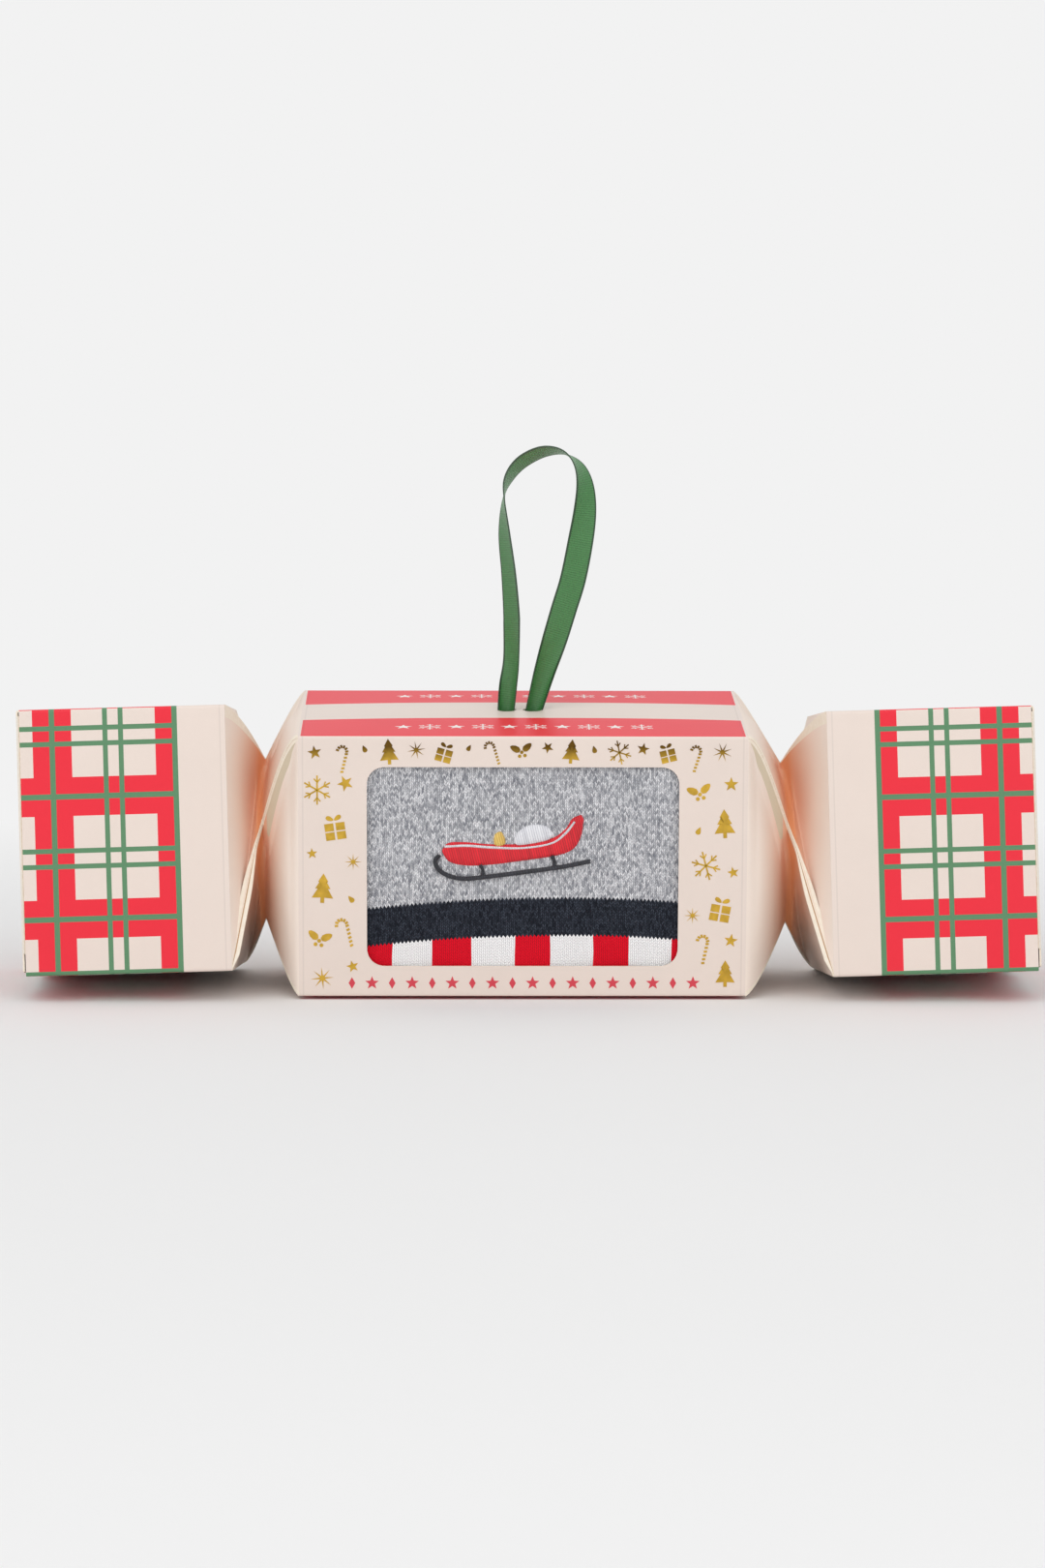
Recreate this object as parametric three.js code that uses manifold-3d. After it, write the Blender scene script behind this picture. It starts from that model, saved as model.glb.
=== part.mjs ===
// Christmas cracker gift carton.
// One square tube of printed board is twisted at two necks into a centre box and two end boxes.
// The centre box has a die-cut window, two punched holes for a ribbon loop, and a pair of socks inside.
// Each end box closes with a hinged lid, its tuck flap and two dust flaps.
// Millimetres. X runs along the tube, -Y is the front with the window, +Z is up, and z = 0 is the table.
// The carton rests as it lies in use: the centre box leans forward on its front bottom edge,
// and the end boxes lean back on their rear bottom edges.

import * as THREE from 'three';
import { mergeVertices } from 'three/addons/utils/BufferGeometryUtils.js';
import Module from 'manifold-3d';

const wasm = await Module();
wasm.setup();

// Board and tube
const boardThickness = 0.5;
const tubeSide = 70;
const creaseGap = 0.3;

// Lengths along the tube
const centreLength = 118;
const endLength = 54;
const leftNeckLength = 18.3;
const rightNeckLength = 22;

// How the three boxes lie, in degrees
const centreLean = 5.7;
const endLean = -5.7;
const endTilt = 1.7;

// Window and ribbon holes
const windowWidth = 82;
const windowHeight = 53.5;
const windowCornerRadius = 4.6;
const holeDiameter = 5.2;
const holeSpacing = 6.9;
const holeShift = -0.5;

// Twisted necks: four ridges reach in from the tube's corners, and at the throat each is a doubled fold
const throatReach = 21;
const throatShare = 0.535;
const crossingShare = 0.63;
const centreReachCurve = 1.2;
const endReachCurve = 1.6;
const ridgeCurve = 0.78;
const foldThickness = 1.4;
const neckStations = 12;
const firstStation = 0.2;
const throatGap = 0.3;
const neckFloor = 0.9;

// Glue flaps inside the rear wall
const glueFlapWidth = 12;
const glueFlapSetback = 4;

// End closures
const lidSideClearance = 0.4;
const lidFootClearance = 0.2;
const tuckDepth = 15;
const tuckSlope = 10;
const tuckSideClearance = 1.6;
const tuckFloorClearance = 0.4;
const tuckCornerRadius = 7;
const dustFlapWidth = 31;
const dustFlapInset = 0.2;
const dustFlapFoot = 6;
const dustFlapTaper = 0.5;
const dustFlapTopClearance = 1.5;
const dustFlapCornerRadius = 4;

// Ribbon
const ribbonWidth = 7;
const ribbonThickness = 0.5;
const ribbonFootWidth = 4.2;
const ribbonTailDepth = 1.2;
const ribbonSteps = 72;
const knotLength = 13;
const knotDepth = 6;
const knotHeight = 3;

// Folded socks
const sockLength = 108;
const sockTopClearance = 3;
const sockFrontClearance = 2.3;
const sockGap = 0.6;
const sockCornerRatio = 0.4;
const sockRings = 14;
const sockSegments = 28;

// Worked out from the sizes above
const half = tubeSide / 2;
const inner = half - boardThickness;
const holeRadius = holeDiameter / 2;
const radians = THREE.MathUtils.degToRad;
const cornerDrop = half * (Math.cos(radians(centreLean)) + Math.sin(radians(centreLean)));
const endCornerDrop = half * (Math.cos(radians(endLean)) - Math.sin(radians(endLean)));
const tiltDrop = (endLength / 2) * Math.sin(radians(endTilt));
const axisHeight = Math.max(cornerDrop, endCornerDrop * Math.cos(radians(endTilt)) + tiltDrop);
const overallLength = centreLength + leftNeckLength + rightNeckLength + 2 * endLength;
const centreX = (leftNeckLength - rightNeckLength) / 2;

const colours = {
  board: 0xe8d9d0,
  foldedBoard: 0xe3c9b4,
  boardInside: 0xf0e6d7,
  ribbon: 0x326e3c,
  frontSock: 0x9aa0a8,
  backSock: 0xb3b8bf,
};

const material = (colour, roughness) => new THREE.MeshStandardMaterial({ color: colour, roughness, metalness: 0 });

function named(name, geometry, colour, roughness = 0.6) {
  const mesh = new THREE.Mesh(geometry, material(colour, roughness));
  mesh.name = name;
  return mesh;
}

// Solids from point grids

function closedGeometry(points, triangles) {
  const geometry = new THREE.BufferGeometry();
  geometry.setAttribute('position', new THREE.Float32BufferAttribute(points.flatMap((p) => [p.x, p.y, p.z]), 3));
  geometry.setIndex(triangles.flat());
  return geometry;
}

// A body lofted through rings of equally many points, closed at each end by a fan about the ring's middle.
// The rings run anticlockwise seen from beyond the last ring.
function loft(rings) {
  const count = rings[0].length;
  const middle = (ring) => ring.reduce((sum, p) => sum.add(p), new THREE.Vector3()).divideScalar(count);
  const points = [...rings.flat(), middle(rings[0]), middle(rings[rings.length - 1])];
  const [firstMiddle, lastMiddle] = [points.length - 2, points.length - 1];
  const lastStart = (rings.length - 1) * count;
  const triangles = [];
  for (let i = 0; i < count; i += 1) {
    const next = (i + 1) % count;
    for (let start = 0; start < lastStart; start += count) {
      const [a, b] = [start + i, start + next];
      triangles.push([a, b, b + count], [a, b + count, a + count]);
    }
    triangles.push([next, i, firstMiddle], [lastStart + i, lastStart + next, lastMiddle]);
  }
  return closedGeometry(points, triangles);
}

function solidOf(geometry) {
  const bare = geometry.clone();
  bare.deleteAttribute('normal');
  bare.deleteAttribute('uv');
  const merged = mergeVertices(bare, 1e-4);
  const index = merged.index.array;
  const kept = [];
  for (let i = 0; i < index.length; i += 3) {
    const [a, b, c] = [index[i], index[i + 1], index[i + 2]];
    if (a !== b && b !== c && a !== c) kept.push(a, b, c);
  }
  return new wasm.Manifold(new wasm.Mesh({
    numProp: 3,
    vertProperties: new Float32Array(merged.attributes.position.array),
    triVerts: new Uint32Array(kept),
  }));
}

function geometryOf(solid) {
  const mesh = solid.getMesh();
  const geometry = new THREE.BufferGeometry();
  geometry.setAttribute('position', new THREE.BufferAttribute(new Float32Array(mesh.vertProperties), 3));
  geometry.setIndex(new THREE.BufferAttribute(new Uint32Array(mesh.triVerts), 1));
  geometry.computeVertexNormals();
  return geometry;
}

// Flat board pieces

function rectangle(x0, y0, x1, y1) {
  return new THREE.Shape([
    new THREE.Vector2(x0, y0),
    new THREE.Vector2(x1, y0),
    new THREE.Vector2(x1, y1),
    new THREE.Vector2(x0, y1),
  ]);
}

function roundedWindow(width, height, radius) {
  const [x, y] = [width / 2, height / 2];
  const path = new THREE.Path();
  path.moveTo(-x + radius, -y);
  path.lineTo(x - radius, -y);
  path.absarc(x - radius, -y + radius, radius, -Math.PI / 2, 0);
  path.lineTo(x, y - radius);
  path.absarc(x - radius, y - radius, radius, 0, Math.PI / 2);
  path.lineTo(-x + radius, y);
  path.absarc(-x + radius, y - radius, radius, Math.PI / 2, Math.PI);
  path.lineTo(-x, -y + radius);
  path.absarc(-x + radius, -y + radius, radius, Math.PI, 1.5 * Math.PI);
  return path;
}

function board(shape) {
  return new THREE.ExtrudeGeometry(shape, { depth: boardThickness, bevelEnabled: false, curveSegments: 8 });
}

// A panel standing across Y: the shape's y becomes z, and its printed face is at y = side * half
function standingPanel(shape, side) {
  const geometry = board(shape).rotateX(Math.PI / 2);
  return geometry.translate(0, side < 0 ? -inner : half, 0);
}

// A panel lying across Z, with its printed face at z = side * half
function lyingPanel(shape, side) {
  return board(shape).translate(0, 0, side < 0 ? -half : inner);
}

// Square tube of four panels and a glue flap, between two creases or a crease and an open end
function tubePanels(prefix, x0, x1, window, holes) {
  const front = rectangle(x0, -half, x1, half);
  if (window) front.holes.push(window);
  const lid = inner - creaseGap;
  const top = rectangle(x0, -lid, x1, lid);
  for (const hole of holes) top.holes.push(hole);
  const flapFace = inner - creaseGap;
  const flap = board(rectangle(x0 + glueFlapSetback, -lid, x1 - glueFlapSetback, -lid + glueFlapWidth));
  return [
    named(`${prefix}_front_panel`, standingPanel(front, -1), colours.board),
    named(`${prefix}_back_panel`, standingPanel(rectangle(x0, -half, x1, half), 1), colours.board),
    named(`${prefix}_top_panel`, lyingPanel(top, 1), colours.board),
    named(`${prefix}_bottom_panel`, lyingPanel(rectangle(x0, -lid, x1, lid), -1), colours.board),
    named(`${prefix}_glue_flap`, flap.rotateX(Math.PI / 2).translate(0, flapFace, 0), colours.boardInside),
  ];
}

// Twisted neck

// How far a ridge stands from the axis: least at the throat, and falling to it from both creases
function ridgeReach(along) {
  const share = along < throatShare ? along / throatShare : (1 - along) / (1 - throatShare);
  return half - (half - throatReach) * share ** (along < throatShare ? centreReachCurve : endReachCurve);
}

// How far a ridge stands from the middle of its side. It starts at a tube corner, comes down to
// half a fold's thickness where it crosses the middle, and goes on to the next corner.
function ridgeHeight(station, sense) {
  const low = foldThickness / 2;
  const fall = sense > 0 ? Math.cos((Math.PI / 2) * station ** ridgeCurve) : 1 - station;
  return Math.min(low + (half - low) * fall, ridgeReach(stationAlong(station, sense)));
}

// The share of the neck's length at a station: from 0 at a half's crease to 1 at the crossing
function stationAlong(station, sense, clearance = 0) {
  return sense > 0
    ? (crossingShare - clearance) * station
    : 1 - (1 - crossingShare - clearance) * station;
}

// The neck's outline at one station, in its own turned frame: from 0 at the crease to 1 at the
// crossing. Each of the four ridges runs from a tube corner to the middle of a side, and behind it
// the next panel folds flat across the tube. sense is +1 on the centre box's half and -1 on the
// end box's half.
function neckOutline(station, sense) {
  const reach = ridgeReach(stationAlong(station, sense));
  const flat = ridgeHeight(station, sense);
  const under = flat - foldThickness;
  const arm = [[-reach, flat], [-reach, under], [-flat, under]];
  const outline = [];
  for (let turn = 0; turn < 4; turn += 1) {
    for (const [y, z] of arm) {
      const [cos, sin] = [[1, 0], [0, 1], [-1, 0], [0, -1]][turn];
      outline.push(new THREE.Vector2((y * cos - z * sin), (y * sin + z * cos)));
    }
  }
  return sense > 0 ? outline : outline.map((p) => new THREE.Vector2(p.x, -p.y)).reverse();
}

function neckCavity(station, sense) {
  const side = ridgeHeight(station, sense) - boardThickness;
  return [
    new THREE.Vector2(-side, -side),
    new THREE.Vector2(side, -side),
    new THREE.Vector2(side, side),
    new THREE.Vector2(-side, side),
  ];
}

// Where a neck ring sits: along runs from 0 at the centre box's crease to 1 at the end box's crease
function neckFrame(side, neckLength, along) {
  const x = centreX + side * (centreLength / 2 + neckLength * along);
  const rise = -side * (endLength / 2) * Math.sin(radians(endTilt)) * along;
  const lean = radians(centreLean + (endLean - centreLean) * along);
  return new THREE.Matrix4()
    .makeTranslation(x, 0, axisHeight + rise)
    .multiply(new THREE.Matrix4().makeRotationY(-radians(endTilt) * along))
    .multiply(new THREE.Matrix4().makeRotationX(lean));
}

function neckHalf(side, neckLength, sense) {
  const alongOf = (station) => stationAlong(station, sense, throatGap / (2 * neckLength));
  const stations = [0];
  for (let i = 0; i < neckStations; i += 1) {
    stations.push(firstStation + ((1 - firstStation) * i) / (neckStations - 1));
  }
  const place = (outline, station) => {
    const frame = neckFrame(side, neckLength, alongOf(station));
    return outline.map((p) => new THREE.Vector3(0, p.x, p.y).applyMatrix4(frame));
  };
  const forward = side * sense > 0;
  const order = (outline) => (forward === THREE.ShapeUtils.area(outline) > 0 ? outline : [...outline].reverse());
  const body = (outlineAt, list) => {
    return solidOf(loft(list.map((station) => place(order(outlineAt(station, sense)), station))));
  };
  const outer = body(neckOutline, stations);
  const hollow = body(neckCavity, stations.filter((station) => station < neckFloor));
  return geometryOf(outer.subtract(hollow));
}

// End closures, in the end box's own frame with x outward

function lidPlate(outward) {
  const face = endLength / 2 + creaseGap;
  const shape = rectangle(-half + lidSideClearance, -half + lidFootClearance, half - lidSideClearance, half - creaseGap);
  const geometry = board(shape).rotateX(Math.PI / 2).rotateZ(Math.PI / 2);
  return geometry.translate(outward > 0 ? face : -face - boardThickness, 0, 0);
}

function tuckPlate(outward) {
  const width = inner - tuckSideClearance;
  const shape = new THREE.Shape();
  shape.moveTo(0, -width);
  shape.lineTo(tuckDepth - tuckCornerRadius, -width);
  shape.absarc(tuckDepth - tuckCornerRadius, -width + tuckCornerRadius, tuckCornerRadius, -Math.PI / 2, 0);
  shape.lineTo(tuckDepth, width - tuckCornerRadius);
  shape.absarc(tuckDepth - tuckCornerRadius, width - tuckCornerRadius, tuckCornerRadius, 0, Math.PI / 2);
  shape.lineTo(0, width);
  const geometry = board(shape).rotateY(-radians(tuckSlope));
  if (outward > 0) geometry.rotateZ(Math.PI);
  return geometry.translate((outward * endLength) / 2, 0, -inner + tuckFloorClearance);
}

// wall is -1 for the flap on the front panel and +1 for the one on the rear panel
function dustFlapPlate(outward, wall) {
  const root = boardThickness + creaseGap;
  const tip = root + dustFlapWidth;
  const radius = dustFlapCornerRadius;
  const topAt = (w) => half - dustFlapTopClearance - dustFlapTaper * w;
  const foot = -half + dustFlapFoot;
  const shape = new THREE.Shape();
  shape.moveTo(root, foot);
  shape.lineTo(tip - radius, foot);
  shape.absarc(tip - radius, foot + radius, radius, -Math.PI / 2, 0);
  shape.lineTo(tip, topAt(tip));
  shape.lineTo(root, topAt(root));
  const geometry = board(shape).rotateX(Math.PI / 2).rotateZ(-wall * (Math.PI / 2));
  const face = endLength / 2 - dustFlapInset;
  const low = outward > 0 ? face - boardThickness : -face;
  return geometry.translate(wall < 0 ? low : low + boardThickness, wall * half, 0);
}

function endBox(prefix, side, neckLength) {
  const group = new THREE.Group();
  group.rotation.order = 'YXZ';
  group.rotation.y = -radians(endTilt);
  group.rotation.x = radians(endLean);
  group.position.set(centreX + side * (centreLength / 2 + neckLength + endLength / 2), 0, axisHeight);
  const [creaseEdge, openEdge] = [-side * (endLength / 2 - creaseGap), (side * endLength) / 2];
  const [x0, x1] = [Math.min(creaseEdge, openEdge), Math.max(creaseEdge, openEdge)];
  group.add(...tubePanels(prefix, x0, x1, null, []));
  group.add(named(`${prefix}_lid`, lidPlate(side), colours.board));
  group.add(named(`${prefix}_lid_tuck`, tuckPlate(side), colours.board));
  group.add(named(`${prefix}_front_dust_flap`, dustFlapPlate(side, -1), colours.boardInside));
  group.add(named(`${prefix}_back_dust_flap`, dustFlapPlate(side, 1), colours.boardInside));
  return group;
}

// Ribbon loop: x, height above the top panel, turn from face-on in degrees, and width.
// The legs stand in the two punched holes, gathered there, and the loop passes edge-on twice.
const ribbonRoute = [
  [-4, -boardThickness - ribbonTailDepth, 10, ribbonFootWidth],
  [-4, 0, 10, ribbonFootWidth],
  [-3.2, 7, 30, 5.2],
  [-2.4, 14, 50, 6.4],
  [-2.6, 25.5, 53, ribbonWidth],
  [-3.4, 37, 58, ribbonWidth],
  [-4.6, 48, 66, ribbonWidth],
  [-4.8, 57, 87, ribbonWidth],
  [-3.6, 62.5, 110, ribbonWidth],
  [-0.4, 66.8, 120, ribbonWidth],
  [4.6, 69.6, 118, ribbonWidth],
  [9.2, 70.1, 106, ribbonWidth],
  [12.8, 68.7, 88, ribbonWidth],
  [15.6, 65.4, 66, ribbonWidth],
  [16.9, 60.4, 47, ribbonWidth],
  [16.8, 53.4, 27, ribbonWidth],
  [15.5, 44.7, 8, ribbonWidth],
  [13.7, 35.7, 1, ribbonWidth],
  [11.5, 28.4, 4, ribbonWidth],
  [8.9, 19.8, 8, 6.8],
  [5.9, 10.5, 10, 5.6],
  [3, 0, 10, ribbonFootWidth],
  [2.7, -boardThickness - ribbonTailDepth, 10, ribbonFootWidth],
];

function ribbonLoop() {
  const centres = new THREE.CatmullRomCurve3(ribbonRoute.map(([x, z]) => new THREE.Vector3(x, 0, z)), false, 'catmullrom');
  const turns = new THREE.CatmullRomCurve3(ribbonRoute.map(([, , turn, width]) => new THREE.Vector3(turn, width, 0)), false, 'catmullrom');
  const rings = [];
  for (let i = 0; i <= ribbonSteps; i += 1) {
    const t = i / ribbonSteps;
    const centre = centres.getPoint(t);
    const tangent = centres.getTangent(t);
    const facing = turns.getPoint(t);
    const outwards = new THREE.Vector3(-tangent.z, 0, tangent.x);
    const across = outwards.multiplyScalar(Math.cos(radians(facing.x)));
    across.add(new THREE.Vector3(0, Math.sin(radians(facing.x)), 0));
    const through = new THREE.Vector3().crossVectors(tangent, across).multiplyScalar(ribbonThickness / 2);
    across.multiplyScalar(facing.y / 2);
    rings.push([
      centre.clone().sub(across).sub(through),
      centre.clone().add(across).sub(through),
      centre.clone().add(across).add(through),
      centre.clone().sub(across).add(through),
    ]);
  }
  return loft(rings);
}

// A flattened bead, the overhand knot that holds both tails under the top panel
function knot() {
  const geometry = new THREE.SphereGeometry(0.5, 20, 12);
  geometry.scale(knotLength, knotDepth, knotHeight);
  const top = inner - ribbonTailDepth - creaseGap;
  return geometry.translate(holeShift, 0, top - knotHeight / 2);
}

// One folded sock: a boxy pillow, round at its folds
function foldedSock(wall) {
  const low = -inner + creaseGap;
  const high = inner - sockTopClearance;
  const front = -inner + sockFrontClearance;
  const back = wall < 0 ? -sockGap / 2 : -front - boardThickness - creaseGap;
  const near = wall < 0 ? front : sockGap / 2;
  const size = new THREE.Vector3(sockLength / 2, (back - near) / 2, (high - low) / 2);
  const soften = (value) => Math.sign(value) * Math.abs(value) ** sockCornerRatio;
  const geometry = new THREE.SphereGeometry(1, sockSegments, sockRings);
  const position = geometry.attributes.position;
  for (let i = 0; i < position.count; i += 1) {
    const ring = Math.hypot(position.getX(i), position.getZ(i));
    const [cos, sin] = ring > 1e-6 ? [position.getX(i) / ring, position.getZ(i) / ring] : [0, 0];
    const width = ring > 1e-6 ? soften(ring) : 0;
    position.setXYZ(
      i,
      size.x * width * soften(cos),
      size.y * width * soften(-sin),
      size.z * soften(position.getY(i)),
    );
  }
  return geometry.translate(0, (near + back) / 2, (low + high) / 2);
}

function punchedHole(x) {
  const path = new THREE.Path();
  path.absarc(x, 0, holeRadius, 0, 2 * Math.PI);
  return path;
}

// The whole cracker

const cracker = new THREE.Group();

const centre = new THREE.Group();
centre.rotation.x = radians(centreLean);
centre.position.set(centreX, 0, axisHeight);
const centreReach = centreLength / 2 - creaseGap;
const holes = [-1, 1].map((side) => punchedHole(holeShift + (side * holeSpacing) / 2));
const opening = roundedWindow(windowWidth, windowHeight, windowCornerRadius);
centre.add(...tubePanels('centre', -centreReach, centreReach, opening, holes));
centre.add(named('front_sock', foldedSock(-1), colours.frontSock, 0.95));
centre.add(named('back_sock', foldedSock(1), colours.backSock, 0.95));
centre.add(named('ribbon_knot', knot(), colours.ribbon, 0.5));
cracker.add(centre);

const ribbon = new THREE.Group();
ribbon.position.set(
  centreX,
  -half * Math.sin(radians(centreLean)),
  axisHeight + half * Math.cos(radians(centreLean)),
);
ribbon.add(named('ribbon_loop', ribbonLoop(), colours.ribbon, 0.5));
cracker.add(ribbon);

for (const [prefix, side, neckLength] of [['left', -1, leftNeckLength], ['right', 1, rightNeckLength]]) {
  cracker.add(endBox(prefix, side, neckLength));
  cracker.add(named(`${prefix}_neck_inner_half`, neckHalf(side, neckLength, 1), colours.foldedBoard));
  cracker.add(named(`${prefix}_neck_outer_half`, neckHalf(side, neckLength, -1), colours.foldedBoard));
}

console.log(`overall length ${overallLength.toFixed(1)} mm, tube axis ${axisHeight.toFixed(2)} mm above the table`);

export default cracker;
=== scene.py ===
# %% [markdown]
# # A folded-card Christmas cracker, dressed in Blender
#
# The cracker is one sheet of printed board. It is creased into a square tube, twisted at two necks
# and filled with a pair of folded socks, which show through a die-cut window. A satin ribbon makes
# the hanging loop. This file takes the rigid frame that the CAD model gives and dresses it: every
# board panel gets its rounded folds, its print and its raw cut edges, the necks get one continuous
# twisted surface each, and the ribbon and the socks are made as cloth.
#
# Shapes are written in millimetres, as arrays, and are turned into metres when they become a mesh.

import bmesh
import bpy
import numpy as np
from mathutils import Matrix, Vector


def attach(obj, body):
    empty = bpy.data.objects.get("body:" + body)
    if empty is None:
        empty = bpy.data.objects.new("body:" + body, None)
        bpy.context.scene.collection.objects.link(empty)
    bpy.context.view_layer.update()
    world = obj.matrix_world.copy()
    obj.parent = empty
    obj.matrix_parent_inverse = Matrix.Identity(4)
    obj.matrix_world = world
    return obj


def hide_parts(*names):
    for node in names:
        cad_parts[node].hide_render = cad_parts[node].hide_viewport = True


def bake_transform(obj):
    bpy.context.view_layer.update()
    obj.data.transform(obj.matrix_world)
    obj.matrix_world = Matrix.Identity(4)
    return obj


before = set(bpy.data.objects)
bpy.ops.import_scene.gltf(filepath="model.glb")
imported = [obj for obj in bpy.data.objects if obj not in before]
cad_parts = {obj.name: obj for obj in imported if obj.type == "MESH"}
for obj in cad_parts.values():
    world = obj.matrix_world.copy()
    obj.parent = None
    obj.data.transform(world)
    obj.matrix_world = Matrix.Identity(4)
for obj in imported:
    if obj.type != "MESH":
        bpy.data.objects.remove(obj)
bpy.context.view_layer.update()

# %% [markdown]
# ## Camera
#
# The camera stands a little above the tube and more than a metre in front of it, with a long lens,
# so the sides of the boxes stay nearly parallel. Its place and turn were fitted to the corners of
# the three boxes. A long lens far away flattens the view; a short one close by would fan the ends
# out.

# %% Camera


def turned(axis, degrees):
    """Rotation matrix about one axis, as a 3 by 3 array."""
    return np.array(Matrix.Rotation(np.radians(degrees), 3, axis))


def shown(name, data):
    """A new object in the scene."""
    thing = bpy.data.objects.new(name, data)
    bpy.context.scene.collection.objects.link(thing)
    return thing


camera_data = bpy.data.cameras.new("camera")
camera_data.sensor_fit, camera_data.sensor_height, camera_data.lens = "VERTICAL", 36, 111.46
camera = shown("camera", camera_data)
aim = turned("Z", -0.914) @ turned("X", -5.295) @ turned("Y", -0.146) @ turned("X", 90)
camera.matrix_world = Matrix.Translation((-0.02223, -1.30381, 0.17519)) @ Matrix(aim.tolist()).to_4x4()
bpy.context.scene.camera = camera
print("camera stands", round(-camera.location.y, 2), "m in front of the tube")

# %% [markdown]
# ## From arrays to pieces
#
# Every surface here is a grid: rows run one way, columns the other. One helper lists the faces of
# a grid, and one turns stacked grids into an object, joins the points that fall together and
# gives the board its thickness. Working in whole arrays keeps each shape a short formula.

# %% Grids and pieces


def grid_faces(rows, columns, ring=True):
    """Faces of a grid of rows by columns points. Corner (i, j) is joined to (i, j+1), (i+1, j+1)
    and (i+1, j). With ring the last column joins the first."""
    i, j = np.meshgrid(np.arange(rows - 1), np.arange(columns if ring else columns - 1), indexing="ij")
    here, beside = i * columns + j, i * columns + (j + 1) % columns
    return np.stack([here, beside, beside + columns, here + columns], -1).reshape(-1, 4)


def flat_map(u, v):
    """The (u, v) pairs of a whole grid in one list, as a UV map takes them."""
    return np.stack(np.broadcast_arrays(u, v), -1).reshape(-1, 2)


def tube_part(rings, **extras):
    """A (points, faces, extras) part from rings of points, each ring closed on itself."""
    return rings, grid_faces(*rings.shape[:2]), extras


def unit(vectors):
    """Vectors brought to length one."""
    return vectors / np.linalg.norm(vectors, axis=-1, keepdims=True)


def walked(points):
    """Length along a path from its start to each of its points."""
    return np.concatenate([[0], np.cumsum(np.linalg.norm(np.diff(points, axis=0), axis=1))])


def swung(points, degrees):
    """Flat (a, b) points turned about zero."""
    c, s = np.cos(np.radians(degrees)), np.sin(np.radians(degrees))
    return points @ np.array([[c, s], [-s, c]])


def capped(rings):
    """Rings with one more at each end, drawn together to its middle, so the tube is closed."""
    first, last = (ring.mean(axis=1, keepdims=True) + 0 * ring for ring in (rings[:1], rings[-1:]))
    return np.concatenate([first, rings, last])


def stacked(parts):
    """Joins (points, faces, extras) parts into one set of arrays, moving the face numbers along."""
    clouds = [points.reshape(-1, 3) for points, _, _ in parts]
    starts = np.cumsum([0] + [len(cloud) for cloud in clouds[:-1]])
    faces = [face for part, start in zip(parts, starts) for face in (part[1] + start).tolist()]
    extras = {name: np.concatenate([part[2][name] for part in parts]) for name in parts[0][2]}
    return np.concatenate(clouds), faces, extras


def piece(name, parts, body, replaces, finishes, thick=0.0, merge=0.004, closed=False, angle=30):
    """Makes one object from parts in millimetres. extras hold per-point arrays: two columns become
    a UV map and one column an attribute. thick is a board's thickness in mm, laid inwards; its
    inner face takes the second finish and its cut edge the third. Points nearer than merge mm are
    joined, and shading breaks wherever two faces meet at more than the angle."""
    points, faces, extras = stacked(parts)
    mesh = bpy.data.meshes.new(name)
    mesh.from_pydata((points / 1000).tolist(), [], faces)
    corners = np.empty(len(mesh.loops), dtype=np.int32)
    mesh.loops.foreach_get("vertex_index", corners)
    for key, values in extras.items():
        if values.ndim == 2:
            layer = mesh.uv_layers.new(name=key)
            layer.data.foreach_set("uv", values[corners].astype(np.float32).ravel())
        else:
            layer = mesh.attributes.new(key, "FLOAT", "POINT")
            layer.data.foreach_set("value", values.astype(np.float32))
    build = bmesh.new()
    build.from_mesh(mesh)
    bmesh.ops.remove_doubles(build, verts=build.verts, dist=merge / 1000)
    if closed:
        bmesh.ops.recalc_face_normals(build, faces=build.faces)
    build.to_mesh(mesh)
    build.free()
    thing = shown(name, mesh)
    for finish in finishes:
        mesh.materials.append(finish)
    if thick:
        board = thing.modifiers.new("board", "SOLIDIFY")
        board.thickness, board.offset = thick / 1000, -1
        board.material_offset, board.material_offset_rim = 1, 2
        thing.data = bpy.data.meshes.new_from_object(thing.evaluated_get(bpy.context.evaluated_depsgraph_get()))
        thing.modifiers.clear()
        thing.data.name = name
    thing.data.shade_smooth()
    thing.data.set_sharp_from_angle(angle=np.radians(angle))
    if body:
        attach(thing, body)
    if replaces:
        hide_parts(*replaces)
    print(f"{name}: {len(thing.data.polygons)} faces on {body or 'two bodies'}")
    return thing


print("a ring grid of 3 by 4 points has", len(grid_faces(3, 4)), "faces")


# %% [markdown]
# ## Where the three boxes stand
#
# The centre box leans a little forward and the two end boxes lean back, because each neck's twist
# stops short of a full quarter turn. Each box has its own upright frame with its middle at zero,
# and one matrix takes it to its place.

# %% Box frames
half, board_thickness = 35.0, 0.5
axis_height, centre_x = 39.087, -1.85
centre_lean, end_lean, end_tilt = 5.7, -5.7, 1.7
centre_half_length, end_half_length = 59.0, 27.0
neck_lengths = {"left": 18.3, "right": 22.0}
sides = {"left": -1, "right": 1}


def box_frame(name):
    """Middle and rotation of a box, in millimetres and as a matrix."""
    if name == "centre":
        return np.array([centre_x, 0, axis_height]), turned("X", centre_lean)
    x = centre_x + sides[name] * (centre_half_length + neck_lengths[name] + end_half_length)
    return np.array([x, 0, axis_height]), turned("Y", -end_tilt) @ turned("X", end_lean)


def placed(points, name="centre"):
    """Takes points in a box's own frame to their place in the cracker, in the same grid."""
    middle, rotation = box_frame(name)
    return points @ rotation.T + middle


for name in ("centre", *sides):
    print(name, "box stands at", box_frame(name)[0].round(1), "mm")

# %% [markdown]
# ## Procedural finishes: small tools
#
# A finish is a node tree. A value worked out by nodes is wrapped, so that the usual signs can be
# used on it: each sign adds one Math node and wires its inputs. The print can then be written
# almost as it would be on paper. The colours are written as the sRGB values seen on the print and
# changed to the linear values that shaders need.

# %% Finish helpers


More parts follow.
